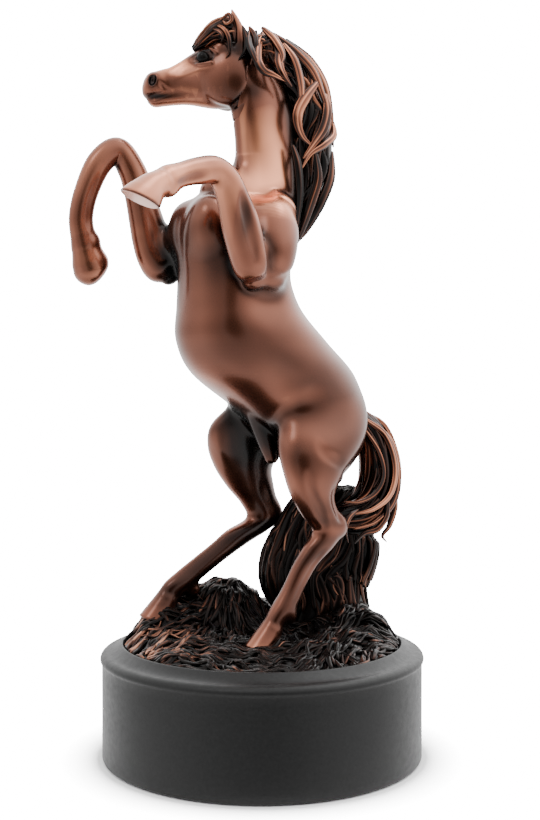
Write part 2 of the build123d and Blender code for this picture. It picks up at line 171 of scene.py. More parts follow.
class Limb(Shape):
    """Oval sections square to a free line: rows of (x, y, z, half size across, half size deep)."""

    def __init__(self, rows, side=(0, 1, 0), blend=2.0, caps=(None, None), axes=WORLD, steps=8, cuts=False,
                 sole=None):
        table = smooth_rows(rows, steps)
        self.centre = axes.world(table[:, :3])
        self.size = np.maximum(table[:, 3:5], 0.05)
        self.blend = blend
        self.cuts = cuts
        self.caps = caps
        self.sole = sole
        along = unit(np.gradient(self.centre, axis=0))
        side = np.asarray(side, float) @ axes.rows
        across = unit(side - along * (along @ side)[:, None])
        self.along = along
        self.across = across
        self.deep = np.cross(along, across)
        self.set_box(self.centre, self.size.max() + blend + 1.5)

    def nearest(self, points):
        """How far along the line, counted in its points, the nearest place is."""
        best = np.full(len(points), 1e9)
        where = np.zeros(len(points))
        for i in range(len(self.centre) - 1):
            a = self.centre[i]
            ab = self.centre[i + 1] - a
            ap = points - a
            t = np.clip(ap @ ab / (ab @ ab), 0, 1)
            gap = ((ap - t[:, None] * ab) ** 2).sum(1)
            nearer = gap < best
            best = np.where(nearer, gap, best)
            where = np.where(nearer, i + t, where)
        return where, np.sqrt(best)

    def at(self, table, where):
        i = np.minimum(where.astype(int), len(table) - 2)
        t = where - i
        if table.ndim == 2:
            t = t[:, None]
        return table[i] * (1 - t) + table[i + 1] * t

    def distance(self, points):
        where, _ = self.nearest(points)
        rel = points - self.at(self.centre, where)
        size = self.at(self.size, where)
        r1 = size[:, 0]
        r2 = size[:, 1]
        small = np.minimum(r1, r2)
        x = (rel * self.at(self.across, where)).sum(1) / r1
        y = (rel * self.at(self.deep, where)).sum(1) / r2
        last = len(self.centre) - 1
        z = (rel * self.at(self.along, where)).sum(1) / small
        for end, is_there in ((0, where < 1e-6), (1, where > last - 1e-6)):
            if self.caps[end] is not None:
                z = np.where(is_there, 0, z)
        k0 = np.sqrt(x * x + y * y + z * z) + 1e-9
        k1 = np.sqrt((x / r1) ** 2 + (y / r2) ** 2 + (z / small) ** 2) + 1e-9
        d = k0 * (k0 - 1) / k1
        for end, near in ((0, where < 3), (1, where > last - 3)):
            if self.caps[end] is not None:
                tip = self.centre[-end]
                out = self.along[-end] * (1 if end else -1)
                d = np.where(near, flat_end(d, (points - tip) @ out, self.caps[end]), d)
        if self.sole is not None:
            point, normal, edge = self.sole
            d = -smooth_min(-d, -((points - np.array(point)) @ unit(normal)), edge)
        return d


class Ball(Shape):
    """An ellipsoid: its radii lie along direction, side and their normal."""

    def __init__(self, centre, radii, along=(1, 0, 0), side=(0, 1, 0), blend=2.0, cuts=False, axes=WORLD):
        self.centre = axes.world([centre])[0]
        first = unit(np.asarray(along, float) @ axes.rows)
        side = np.asarray(side, float) @ axes.rows
        second = unit(side - first * (first @ side))
        self.rows = np.array([first, second, np.cross(first, second)])
        self.radii = np.asarray(radii, float)
        self.blend = blend
        self.cuts = cuts
        self.set_box(self.centre, self.radii.max() + blend + 1)

    def scaled(self, points):
        return ((points - self.centre) @ self.rows.T) / self.radii

    def distance(self, points):
        q = self.scaled(points)
        k0 = np.sqrt((q**2).sum(1)) + 1e-9
        k1 = np.sqrt(((q / self.radii) ** 2).sum(1)) + 1e-9
        return k0 * (k0 - 1) / k1


class Swell(Ball):
    """A soft rise of the surface, or a hollow where its height is negative."""

    def __init__(self, centre, radii, height, along=(1, 0, 0), side=(0, 1, 0), axes=WORLD):
        super().__init__(centre, radii, along, side, axes=axes)
        self.height = height
        self.set_box(self.centre, self.radii.max() * 2.2)

    def apply(self, points, field):
        return field - self.height * np.exp(-(self.scaled(points) ** 2).sum(1))


class Crease(Limb):
    """A groove along a line, or a ridge where its depth is negative: rows of (x, y, z, width, depth)."""

    def __init__(self, rows, axes=WORLD, steps=5):
        rows = np.asarray(rows, float)
        super().__init__(rows, axes=axes, steps=steps)
        table = smooth_rows(rows, steps)
        self.width = np.maximum(table[:, 3], 0.1)
        self.depth = table[:, 4]
        self.set_box(self.centre, self.width.max() * 2.3)

    def apply(self, points, field):
        where, gap = self.nearest(points)
        width = self.at(self.width, where)
        return field + self.at(self.depth, where) * np.exp(-((gap / width) ** 2))


def evaluate(shapes, centres, offsets):
    """The field at centres plus offsets, one row per centre."""
    field = np.full((len(centres), len(offsets)), FAR)
    reach = np.abs(offsets).max(0)
    for shape in shapes:
        near = np.all((centres > shape.low - reach) & (centres < shape.high + reach), axis=1)
        chosen = np.flatnonzero(near)
        if not len(chosen):
            continue
        points = (centres[chosen, None, :] + offsets[None]).reshape(-1, 3)
        changed = shape.apply(points, field[chosen].reshape(-1))
        field[chosen] = changed.reshape(len(chosen), -1)
    return field


BLOCK = 8


class Grid:
    """A dense grid of field values, worked out only near the surface."""

    def __init__(self, shapes, low, high, step):
        self.low = np.asarray(low, float)
        self.step = step
        blocks = np.ceil((np.asarray(high) - self.low) / (step * BLOCK)).astype(int)
        index = np.stack(np.meshgrid(*[np.arange(n) for n in blocks], indexing="ij"), -1).reshape(-1, 3)
        half = step * (BLOCK - 1) / 2
        centres = self.low + index * step * BLOCK + half
        coarse = evaluate(shapes, centres, np.zeros((1, 3)))[:, 0]
        span = step * BLOCK * math.sqrt(3) / 2
        active = np.abs(coarse) < span * 1.3 + 1.2
        # A block next to a surface that its own middle misses is worked out too.
        values = np.where(coarse < 0, -FAR, FAR).astype(np.float32).reshape(blocks)
        values = values.repeat(BLOCK, 0).repeat(BLOCK, 1).repeat(BLOCK, 2)
        six = values.reshape(blocks[0], BLOCK, blocks[1], BLOCK, blocks[2], BLOCK)
        steps = np.stack(np.meshgrid(*[np.arange(BLOCK)] * 3, indexing="ij"), -1).reshape(-1, 3)
        offsets = steps * step - half
        chosen = np.flatnonzero(active)
        for start in range(0, len(chosen), 1200):
            part = chosen[start:start + 1200]
            got = evaluate(shapes, centres[part], offsets).astype(np.float32)
            i, j, k = index[part].T
            six[i, :, j, :, k, :] = got.reshape(-1, BLOCK, BLOCK, BLOCK)
        self.values = values

    def sample(self, points):
        """The field at any points, by straight lines between the grid's own."""
        values = self.values
        q = (points - self.low) / self.step
        q = np.clip(q, 0, np.array(values.shape) - 1.001)
        i = q.astype(int)
        f = q - i
        total = 0
        for corner in range(8):
            c = np.array([corner & 1, corner >> 1 & 1, corner >> 2 & 1])
            w = np.prod(np.where(c, f, 1 - f), axis=1)
            total = total + w * values[i[:, 0] + c[0], i[:, 1] + c[1], i[:, 2] + c[2]]
        return total

    def normals(self, points):
        out = np.empty_like(points)
        for axis in range(3):
            move = np.zeros(3)
            move[axis] = self.step
            out[:, axis] = self.sample(points + move) - self.sample(points - move)
        return unit(out)

    def mesh(self):
        """Vertices and quads of the zero surface, one vertex in each cell that it passes through."""
        g = self.values
        inside = g < 0
        count = np.zeros(np.array(g.shape) - 1, np.uint8)
        for corner in range(8):
            a, b, c = corner & 1, corner >> 1 & 1, corner >> 2 & 1
            count += inside[a:g.shape[0] - 1 + a, b:g.shape[1] - 1 + b, c:g.shape[2] - 1 + c]
        cells = np.flatnonzero((count > 0) & (count < 8))
        i, j, k = np.unravel_index(cells, count.shape)
        where = np.stack([i, j, k], 1)
        corner_values = [g[i + (c & 1), j + (c >> 1 & 1), k + (c >> 2 & 1)] for c in range(8)]
        total = np.zeros((len(cells), 3))
        number = np.zeros(len(cells))
        for a in range(8):
            for axis in range(3):
                b = a | 1 << axis
                if b == a:
                    continue
                va, vb = corner_values[a], corner_values[b]
                cross = (va < 0) != (vb < 0)
                t = np.where(cross, va / np.where(cross, va - vb, 1), 0)
                place = np.zeros((len(cells), 3))
                place[:] = (a & 1, a >> 1 & 1, a >> 2 & 1)
                place[:, axis] += t
                total += place * cross[:, None]
                number += cross
        points = self.low + self.step * (where + total / number[:, None])
        lookup = np.full(count.size, -1, np.int32)
        lookup[cells] = np.arange(len(cells))
        quads = []
        for axis in range(3):
            ahead = [slice(None)] * 3
            behind = [slice(None)] * 3
            ahead[axis] = slice(1, None)
            behind[axis] = slice(0, -1)
            first = inside[tuple(behind)]
            change = first != inside[tuple(ahead)]
            e = np.stack(np.nonzero(change), 1)
            o1, o2 = (axis + 1) % 3, (axis + 2) % 3
            ok = (e[:, o1] > 0) & (e[:, o2] > 0) & (e[:, o1] < g.shape[o1] - 1) & (e[:, o2] < g.shape[o2] - 1)
            e = e[ok]
            flip = first[e[:, 0], e[:, 1], e[:, 2]]
            ring = []
            for d1, d2 in ((-1, -1), (0, -1), (0, 0), (-1, 0)):
                cell = e.copy()
                cell[:, o1] += d1
                cell[:, o2] += d2
                ring.append(lookup[np.ravel_multi_index(cell.T, count.shape)])
            ring = np.stack(ring, 1)
            ring[~flip] = ring[~flip][:, ::-1]
            quads.append(ring)
        return points, np.vstack(quads)


# ---------------------------------------------------------------- the horse's body
MID = 3.0  # the torso's plane of symmetry


def upright(rows):
    """Rows of (x, y, z, half across, half deep) as level sections, stretched where the part leans."""
    rows = np.asarray(rows, float)
    along = unit(np.gradient(rows[:, :3], axis=0))
    deep = rows[:, 4] / np.maximum(np.abs(along[:, 2]), 0.5)
    return np.stack([rows[:, 2], rows[:, 1], rows[:, 0], rows[:, 3], deep], 1)


def mirrored(rows, middle):
    """The same rows on the other side of the plane y = middle."""
    return [(row[0], 2 * middle - row[1], *row[2:]) for row in rows]


def on_both_sides(rows, middle=MID, **kinds):
    return [Crease(rows, **kinds), Crease(mirrored(rows, middle), **kinds)]


TORSO = [
    (34, MID, 108, 5, 5),
    (32, MID, 114, 11, 11),
    (28, MID, 122, 16.5, 17),
    (19.5, MID, 135, 21.5, 21.8),
    (7.4, MID, 149, 23.3, 26.8),
    (-2.5, MID, 162, 22.6, 26.6),
    (-8.6, MID, 175, 21.2, 23.6),
    (-11.2, MID, 189, 20, 22),
    (-12, MID, 202, 18.3, 22.8),
    (-12.6, MID, 212, 14.5, 18.4),
    (-13.5, MID, 218.5, 9, 11.5),
]
NECK = [
    (-7, MID, 197, 14, 16),
    (-1, MID, 208, 12.5, 16.5),
    (2.6, MID, 220, 10.2, 14.6),
    (4.2, MID, 232, 8.6, 13.9),
    (3.8, MID, 244, 7.8, 13.9),
    (1.6, MID + 0.5, 256, 7.3, 13.6),
    (-2.2, MID + 1.5, 266, 6.8, 11.8),
    (-6, MID + 3, 273.5, 5.3, 8),
]
LEFT_HIND = [
    (24, -2, 146, 4, 8),
    (22, -7.5, 138, 8, 14),
    (19.5, -12.5, 128, 10, 16.5),
    (16.6, -15.4, 119.5, 9.8, 15.9),
    (13, -17.3, 110, 7.9, 12.2),
    (12.8, -17.3, 101.5, 6.2, 8.9),
    (16.6, -17, 94, 5.2, 7.0),
    (20, -16.6, 88, 4.8, 6.6),
    (16.2, -16.2, 82, 4.2, 5.4),
    (10, -15.8, 75, 3.4, 4.3),
    (5, -15.4, 66.5, 3.3, 4.1),
    (0.6, -15, 59, 3.9, 4.6),
    (-2.8, -14.8, 54, 3.6, 4.0),
    (-5.5, -14.6, 50, 3.6, 4.0),
]
LEFT_HIND_HOOF = [(-4.5, -14.6, 51, 4.2, 4.6), (-7, -14.5, 47, 5.0, 5.6), (-9.6, -14.5, 42.5, 5.8, 6.8)]
RIGHT_HIND = [
    (20, MID + 5, 146, 4, 8),
    (15, MID + 10.5, 138, 8, 14),
    (8.5, MID + 15.5, 129, 10, 17),
    (5, MID + 18.3, 120, 9.8, 16.6),
    (4.3, MID + 19.8, 111, 8.2, 12.6),
    (7.6, MID + 20, 103, 6.5, 9.4),
    (11.6, MID + 19.8, 96, 5.4, 7.6),
    (12.8, MID + 19.3, 90, 4.9, 6.6),
    (6.5, MID + 19.5, 85.4, 4.3, 5.6),
    (-2, MID + 19.8, 80.2, 3.5, 4.6),
    (-10, MID + 20.2, 75.2, 3.4, 4.4),
    (-17.5, MID + 20.6, 70.2, 3.6, 4.5),
    (-23.5, MID + 21, 65.8, 4.0, 4.8),
    (-28, MID + 21.4, 61.4, 3.7, 4.2),
    (-30.5, MID + 21.7, 58.5, 3.7, 4.2),
]
RIGHT_HIND_HOOF = [
    (-30, MID + 21.6, 59, 4.2, 4.6),
    (-32.5, MID + 21.9, 55, 5.0, 5.6),
    (-35.5, MID + 22.1, 50, 5.8, 6.8),
]
LEFT_ARM = [
    (3, -11, 213, 4, 5),
    (-1.5, -14, 207, 7, 8.5),
    (-4, -16, 199, 8.6, 9.2),
    (-5.6, -17.2, 192.5, 8.2, 8.6),
    (-7.8, -17.8, 187.5, 5.6, 7.4),
]
LEFT_FORE = [
    (-14.4, -19.4, 183.8, 3.2, 4.2),
    (-15.4, -20.4, 186.4, 5.2, 6.2),
    (-17.1, -21.8, 189.5, 6.3, 7.4),
    (-20, -23.2, 196, 6.2, 7.6),
    (-23.6, -25, 204, 5.8, 7.4),
    (-27, -26.4, 211.5, 5.1, 6.3),
    (-30.6, -27.5, 217.8, 4.9, 5.6),
    (-36, -28.8, 220.9, 4.5, 5.1),
    (-44, -31.1, 219.4, 3.9, 4.8),
    (-51, -33, 217.2, 3.7, 4.4),
    (-56.5, -34.6, 214.8, 4.3, 5.1),
    (-61, -36.2, 212.4, 4.0, 4.4),
    (-64, -37.5, 210.5, 4.0, 4.4),
]
LEFT_FORE_HOOF = [
    (-60.4, -36.4, 213.2, 4.1, 4.5),
    (-64.4, -37.8, 210.6, 4.9, 5.4),
    (-68, -39.2, 207, 5.8, 6.8),
    (-71.4, -40.5, 203.6, 6.3, 7.6),
]
RIGHT_ARM = [
    (-7, MID + 8, 206, 7, 10),
    (-15, MID + 11.5, 203, 7.5, 10.5),
    (-23, MID + 15, 199.5, 7.5, 10),
    (-29, MID + 18, 196, 7, 9),
    (-32, MID + 19, 192, 5.5, 6.5),
]
RIGHT_FORE = [
    (-30, MID + 18.5, 187, 2.5, 3),
    (-32, MID + 19.4, 190, 6, 7),
    (-34.5, MID + 20.2, 195, 6.3, 8),
    (-36.6, MID + 21, 202, 6.1, 7.8),
    (-38.6, MID + 21.6, 210, 5.7, 7.0),
    (-41, MID + 22.2, 219.5, 5.0, 6.1),
    (-44, MID + 22.9, 228.8, 4.8, 5.6),
    (-49.8, MID + 23.4, 236, 4.6, 5.1),
    (-57.2, MID + 23.8, 230.4, 4.4, 5.1),
    (-62.4, MID + 24.2, 219, 3.8, 4.8),
    (-64.4, MID + 24.6, 209.5, 3.8, 4.8),
    (-63.6, MID + 24.9, 202, 4.1, 4.9),
    (-62.6, MID + 25.3, 197, 4.0, 4.6),
    (-61.6, MID + 25.5, 193, 4.0, 4.6),
]
RIGHT_FORE_HOOF = [
    (-62, MID + 25.3, 197.5, 4.2, 5.0),
    (-60.4, MID + 25.7, 193, 5.8, 7.0),
    (-59.4, MID + 25.9, 189.6, 6.4, 7.5),
]
# The skull is described in the head's axes: (forward, sideways, height, half width, half depth).
SKULL = [
    (3, 0, 268.6, 5.6, 7.6),
    (7, 0, 267, 7.0, 10.4),
    (12, 0, 266.2, 7.6, 12.0),
    (16, 0, 265.9, 7.7, 12.5),
    (20, 0, 265.5, 7.4, 12.0),
    (24, 0, 265.4, 6.7, 10.9),
    (28, 0, 264.9, 5.8, 9.2),
    (32, 0, 264, 4.9, 7.5),
    (36, 0, 262.7, 4.4, 6.6),
    (39.4, 0, 261.8, 4.6, 6.5),
    (42.4, 0, 261.4, 4.4, 6.0),
]
EYE = (22.8, 3.9, 271.7)
EYE_RADIUS = 2.8


def torso_forms():
    forms = [
        Trunk(UPRIGHT, upright(TORSO), blend=6),
        Trunk(UPRIGHT, upright(NECK), blend=7),
    ]
    for side in (-1, 1):
        def y(offset):
            return MID + side * offset
        forms += [
            # Breast muscles and the long mass of the shoulder blade.
            Ball((-26, y(8.5), 205), (8, 8, 11), blend=5),
            Swell((-6, y(16), 206), (9, 8, 12), 1.2),
            # The rump's round mass, the hip and the hollow of the flank in front of it.
            Ball((24, y(9), 131), (15, 12, 18), along=(1, 0, 0.4), blend=8),
            Swell((-3, y(22), 143), (9, 8, 9), -1.2),
            # The hollow behind the elbow.
            Swell((-9, y(21), 176), (9, 6, 7), -1.2),
            # The barrel's roundness below the breast.
            Swell((-20, y(12), 167), (12, 12, 13), 1.3),
        ]
    # The breastbone's furrow and the furrow down the spine.
    forms += [
        Crease([(-31, MID, 214, 2.6, 0.2), (-36, MID, 206, 3, 1.0), (-35, MID, 194, 3, 0.7),
                (-34, MID, 182, 3.5, 0.4), (-33, MID, 172, 3.5, 0)]),
        Crease([(14, MID, 172, 4, 0), (27, MID, 160, 4, 0.7), (38, MID, 145, 4, 1.1),
                (44, MID, 133, 4, 0.6)]),
    ]
    # The jugular furrow.
    forms += on_both_sides([(-8.6, -2.2, 258, 1.4, 0.2), (-10.8, -2.4, 250, 1.4, 1.1),
                            (-11.3, -3, 241, 1.5, 1.1),
                            (-12, -4, 231, 1.8, 0.8), (-14, -6, 222, 2.2, 0.3)])
    return forms


def foreleg_forms():
    return [
        Limb(LEFT_ARM, blend=7),
        Limb(LEFT_FORE, blend=3),
        # The fold between the near upper arm and the forearm, and the one below them.
        Crease([(-18, -26, 212, 1.3, 0.4), (-15.5, -25.5, 207, 1.4, 2.2), (-13.6, -25.5, 200, 1.4, 2.4),
                (-12.2, -25.3, 191, 1.4, 2.0), (-11, -24, 185, 1.4, 0.8)]),
        Crease([(-15, -23, 182.5, 1.6, 0.6), (-7, -23, 183, 1.8, 1.4), (2, -20, 186, 2, 0.8)]),
        # The furrow between the forearm's two muscles.
        Crease([(-26.5, -31, 213, 1.3, 0.2), (-24.6, -30.6, 207.5, 1.8, 1.5), (-21.6, -29.8, 199, 2, 1.4),
                (-18.6, -28, 191, 1.6, 0.4)]),
        Crease([(-40, -34, 218.4, 1.3, 0), (-46, -35, 217, 1.3, 0.6), (-53, -37, 214.4, 1.2, 0.5),
                (-57, -38.6, 212.6, 1, 0)]),
        Ball((-57, -35, 211.4), (2.8, 2.6, 2.4), blend=2.5),
        Limb(LEFT_FORE_HOOF, blend=1.0, sole=((-67.8, -39.2, 205.4), (-0.351, 0.064, -0.93), 1.0)),
        Limb(RIGHT_ARM, blend=5),
        Limb(RIGHT_FORE, blend=3),
        Crease([(-31, 29.5, 208, 1.8, 0), (-32.5, 29.8, 201, 1.8, 1.2), (-31.5, 29, 193, 1.8, 0.6)]),
        Crease([(-41, 18.5, 215, 1.4, 0), (-38.6, 17.6, 207, 1.8, 1.0), (-36.6, 16.8, 199, 1.8, 0.9),
                (-34.5, 16.4, 193, 1.8, 0)]),
        Crease([(-58.6, 22.6, 226, 1.3, 0), (-61.6, 22.8, 217, 1.3, 0.7), (-62.6, 23.2, 208, 1.3, 0.6),
                (-62.4, 23.6, 203, 1.2, 0)]),
        Ball((-59.6, MID + 25, 200.6), (2.6, 2.8, 2.8), blend=2.5),
        Limb(RIGHT_FORE_HOOF, blend=3.0, sole=((-54.6, 28.4, 187.4), (0.82, -0.1, -0.56), 3.5)),
    ]


def hind_forms():
    return [
        Trunk(UPRIGHT, upright(LEFT_HIND), blend=5),
        Trunk(UPRIGHT, upright(RIGHT_HIND), blend=5),
        Limb(LEFT_HIND_HOOF, blend=1.0, caps=(None, 0.8)),
        Limb(RIGHT_HIND_HOOF, blend=1.0, caps=(None, 0.8)),
        # Points of the hocks and the swellings behind the fetlocks.
        Ball((25, -16.8, 90), (3.2, 3.0, 4.5), along=(1, 0, 0.3), blend=3),
        Ball((18.2, 22.2, 92), (3.2, 3.0, 4.5), along=(1, 0, 0.3), blend=3),
        Ball((3.6, -15, 56), (2.6, 2.8, 3.2), blend=3),
        Ball((-18.6, 24, 62.4), (3.2, 2.8, 2.6), blend=3),
        # The near thigh: knee-cap ridge, fold of the flank, furrow behind; then the gaskin and its tendon.
        Crease([(5, -21, 137, 2.6, -0.3), (2, -24.5, 131, 2.6, -1.3), (0.4, -26, 124, 2.6, -1.3),
                (0, -25.5, 117, 2.6, -0.4)]),
        Crease([(-6, -17, 131, 3, 0.8), (-1, -21, 136, 3, 2.0), (8, -24.5, 140, 3.2, 1.5),
                (18, -24.5, 142.5, 3.6, 0.2)]),
        Crease([(9.5, -27.5, 128, 2.2, 0.2), (12, -27.5, 120.5, 2.2, 1.2), (17.5, -26, 116, 2.2, 1.3),
                (25, -21.5, 112.5, 2.5, 0.4)]),
        Crease([(5, -25.4, 113, 2, 0), (8, -23.6, 105, 1.8, 0.9), (13, -22.2, 97, 1.8, 0.9),
                (16, -21, 91, 1.5, 0.3)]),
        Crease([(18.6, -22.4, 105, 1.8, 0.2), (20.6, -21.8, 98.5, 1.6, 1.3), (23.2, -20.6, 92.5, 1.4, 0.5)]),
        Crease([(17, -20.2, 82, 1.2, 0), (11, -19.4, 74, 1.2, 0.7), (6, -18.9, 66, 1.2, 0.6),
                (2.4, -18.8, 60, 1.1, 0)]),
        # The far leg's inner side.
        Crease([(-9, 18, 128, 2.6, -0.4), (-10.5, 16, 120, 2.6, -0.9), (-7.5, 16, 112, 2.4, -0.3)]),
        Crease([(9.5, 16.4, 104, 1.8, 0.2), (12.2, 15.6, 98, 1.6, 1.1), (14.6, 15.6, 92.5, 1.4, 0.4)]),
        Crease([(4, 15.6, 82, 1.3, 0), (-4, 16.2, 77, 1.3, 0.7), (-12, 17, 72, 1.3, 0.6),
                (-18, 17.6, 68, 1.2, 0)]),
        # Sheath.
        Limb([(0, 3, 136, 5, 6), (2.5, 2.6, 128, 4.6, 5.4), (4.5, 2.2, 120.5, 3.6, 4.2),
              (5.5, 2, 116, 2.6, 3)], blend=2.5),
    ]


def head_forms():
    forms = [
        Trunk(HEAD, SKULL, blend=3, power=2.3),
        # Lower jaw, with the chin in front.
        Limb([(10, 0, 259, 4.4, 5), (20, 0, 257.2, 4, 3.6), (30, 0, 257.2, 3.4, 2.6),
              (38, 0, 256.4, 3.2, 2.3),
              (42, 0, 255.9, 3.4, 2.2), (43.6, 0, 256.4, 3, 1.6)], side=(0, 1, 0), blend=1.5, axes=HEAD),
        # The upper lip reaches over the lower one.
        Ball((44, 0, 260), (2.6, 4, 3.4), blend=2, axes=HEAD),
    ]
    for side in (-1, 1):
        s = side
        forms += [
            Ball((13.4, s * 5.4, 264), (9.2, 3.7, 9.2), blend=2.2, axes=FACE),
            Crease([(4.8, s * 7.4, 270, 1.2, 0.4), (3.9, s * 8, 265, 1.3, 1.6),
                    (5.6, s * 7.8, 259.5, 1.3, 1.8),
                    (10.5, s * 6.2, 254.6, 1.3, 1.2)], axes=FACE),
            # Cheek ridge with the hollow above it and the furrow below.
            Crease([(20, s * 8.2, 269.0, 1.6, -0.2), (25, s * 7.4, 267.6, 1.7, -0.65),
                    (29, s * 6.2, 266.4, 1.7, -0.5),
                    (34, s * 5.1, 264.8, 1.6, -0.1)], axes=FACE),
            Swell((29.5, s * 5.6, 269.8), (5.5, 3, 2.4), -0.7, along=(1, 0, -0.35), axes=FACE),
            Swell((27, s * 6.2, 262.5), (6, 3, 3), -0.8, axes=FACE),
            # Eye socket, brow and lids.
            Swell((17, s * 6, 278), (3.4, 3, 2.8), 1.1, axes=FACE),
            Ball((23.2, s * 7.4, 273.1), (4.4, 2.5, 2.7), along=(1, 0, -0.12), blend=0.8, cuts=True,
                 axes=FACE),
            Crease([(28.4, s * 5, 273.8, 0.9, -0.4), (26, s * 6.1, 276.2, 1.1, -1.3),
                    (21.6, s * 7, 276.8, 1.1, -1.5),
                    (17.8, s * 7.6, 274.6, 1.0, -0.6)], axes=FACE),
            Crease([(28.4, s * 5.4, 271.8, 0.8, -0.3), (24.6, s * 7.2, 270.2, 0.9, -1.0),
                    (19.8, s * 8, 270.6, 0.9, -0.8)],
                   axes=FACE),
            # Nostril and the folds of the mouth.
            Swell((42, s * 4.4, 264.8), (3.0, 2.4, 3.4), 1.2, axes=FACE),
            Ball((42.6, s * 5.6, 264.6), (1.6, 2.2, 2.4), along=(1, 0, 0.25), blend=0.6, cuts=True,
                 axes=FACE),
            Crease([(39.4, s * 4.8, 263.4, 0.9, 0.3), (38.2, s * 4.9, 261.6, 0.9, 1.0),
                    (36.4, s * 4.7, 260.6, 0.8, 0.4)],
                   axes=FACE),
            Crease([(35.8, s * 4.6, 259.9, 0.8, 0.3), (38.4, s * 4.5, 259.2, 0.9, 1.8),
                    (41.6, s * 4.3, 258.2, 1.1, 2.4),
                    (44.6, s * 3.4, 257.6, 1.1, 2.4), (46.4, s * 1.2, 257.4, 1.1, 2.2)], axes=FACE),
            # Ear, and the hollow in it.
            Limb([(8.4, s * 4.4, 273.5, 2.8, 2.6), (8.7, s * 4.8, 278.5, 2.7, 2.2),
                  (9.6, s * 5.0, 283.2, 2.3, 1.7),
                  (10.9, s * 4.9, 287.6, 1.3, 1.1), (11.7, s * 4.6, 290.2, 0.45, 0.4)],
                 side=(1, 0, 0), blend=1.4, axes=HEAD),
            Limb([(10.8, s * 6.4, 277.5, 1.0, 0.6), (11.2, s * 6.4, 282.5, 1.4, 1.0),
                  (12, s * 5.6, 287.4, 0.7, 0.5)],
                 side=(1, 0, 0), blend=0.6, cuts=True, axes=HEAD),
        ]
    return forms


TORSO_FORMS = torso_forms()
BODY_FORMS = TORSO_FORMS + foreleg_forms() + hind_forms()
HEAD_FORMS = head_forms()


# ---------------------------------------------------------------- pieces out of the field
def plane(point, normal):
    """A region on the near side of a plane, against its normal: negative inside."""
    point = np.asarray(point, float)
    normal = unit(normal)
    px, py, pz = point
    nx, ny, nz = normal
    return lambda x, y, z: (x - px) * nx + (y - py) * ny + (z - pz) * nz


def meet(*regions):
    return lambda x, y, z: np.maximum.reduce([region(x, y, z) for region in regions])


HEAD_REGION = meet(plane(HEAD.world([(5.5, 0, 262)])[0], -HEAD.rows[0] + np.array((0, 0, -0.25))),
                   plane((0, 0, 246), (0, 0, -1)))
REGIONS = {
    "head": HEAD_REGION,
    "neck": meet(plane((0, MID, 213), (0.35, 0, -1)), plane((-17, 0, 0), (-1, 0, 0)), lambda x, y,
                 z: -HEAD_REGION(x, y, z)),
    "left_foreleg": meet(plane((-6, -13.5, 200), (0.3, 0.95, 0)), plane((0, 0, 177), (0, 0, -1)),
                         plane((9, 0, 0), (1, 0, 0))),
    "right_foreleg": meet(plane((-20, MID + 13, 201), (0.6, -0.8, 0)), plane((0, MID + 6, 0), (0, -1, 0)),
                          plane((0, 0, 180), (0, 0, -1)), plane((4, 0, 0), (1, 0, 0))),
    "left_hind_leg": meet(plane((17, -14, 131), (-0.3, 0, 1)), plane((0, MID - 3.5, 0), (0, 1, 0))),
    "right_hind_leg": meet(plane((10, 20, 132), (-0.3, 0, 1)), plane((0, MID + 3.5, 0), (0, -1, 0))),
}
REGIONS["neck"] = meet(REGIONS["neck"], lambda x, y, z: -REGIONS["left_foreleg"](x, y, z))


def torso_region(x, y, z):
    return np.maximum.reduce([-region(x, y, z) for region in REGIONS.values()])


BOXES = {
    "torso": ((-48, -30, 100), (56, 38, 228)),
    "head": ((-50, -18, 248), (14, 40, 296)),
    "neck": ((-34, -28, 188), (34, 32, 286)),
    "left_foreleg": ((-84, -52, 172), (14, 6, 240)),
    "right_foreleg": ((-78, 4, 172), (12, 42, 248)),
    "left_hind_leg": ((-26, -34, 40), (56, 6, 146)),
    "right_hind_leg": ((-50, 0, 44), (52, 44, 146)),
}
BODY_STEP = 0.54
HEAD_STEP = 0.28
# Past its seam a casting runs on this far under its neighbour, and sinks by this share of the way.
SEAM_TUCK = 1.6
SEAM_SLOPE = 0.15
# A vertex within this share of a grid step of the true skin is moved onto it, up to just past the seam.
SNAP_SHARE = 0.5
SNAP_MARGIN = 0.05
# Deeper than this, a vertex belongs to a cut face and is shaded where it lies.
SKIN_DEPTH = -2.0


def solid(grid, region, low, high):
    """One casting cut out by its region: vertices, quads, normals and nearest places on the skin."""
    a = np.clip(np.floor((np.asarray(low) - grid.low) / grid.step).astype(int), 0, None)
    b = np.minimum(np.ceil((np.asarray(high) - grid.low) / grid.step).astype(int), grid.values.shape)
    window = grid.values[a[0]:b[0], a[1]:b[1], a[2]:b[2]]
    x = (grid.low[0] + grid.step * np.arange(a[0], b[0]))[:, None, None]
    y = (grid.low[1] + grid.step * np.arange(a[1], b[1]))[None, :, None]
    z = (grid.low[2] + grid.step * np.arange(a[2], b[2]))[None, None, :]
    outside = region(x, y, z)
    piece = Grid.__new__(Grid)
    piece.low = grid.low + a * grid.step
    piece.step = grid.step
    piece.values = np.maximum(window + SEAM_SLOPE * np.maximum(outside, 0),
                              outside - SEAM_TUCK).astype(np.float32)
    points, quads = piece.mesh()
    normal = grid.normals(points)
    gap = grid.sample(points)
    on_skin = (np.abs(gap) < SNAP_SHARE * grid.step) & (region(*points.T) < SNAP_MARGIN)
    skin = points - gap[:, None] * normal
    points = np.where(on_skin[:, None], skin, points)
    return points, quads, normal, np.where(gap[:, None] > SKIN_DEPTH, skin, points)


def hollowness(grid, points, normals):
    """How much the surface is shut in by its surroundings, from 0 on a bare ridge to 1 in a deep crease."""
    total = 0
    weight = 0
    for reach, share in ((0.8, 1.0), (1.8, 1.0), (3.4, 1.2)):
        gap = grid.sample(points + normals * reach)
        total = total + share * np.clip((reach - gap) / reach, 0, 1)
        weight += share
    return total / weight


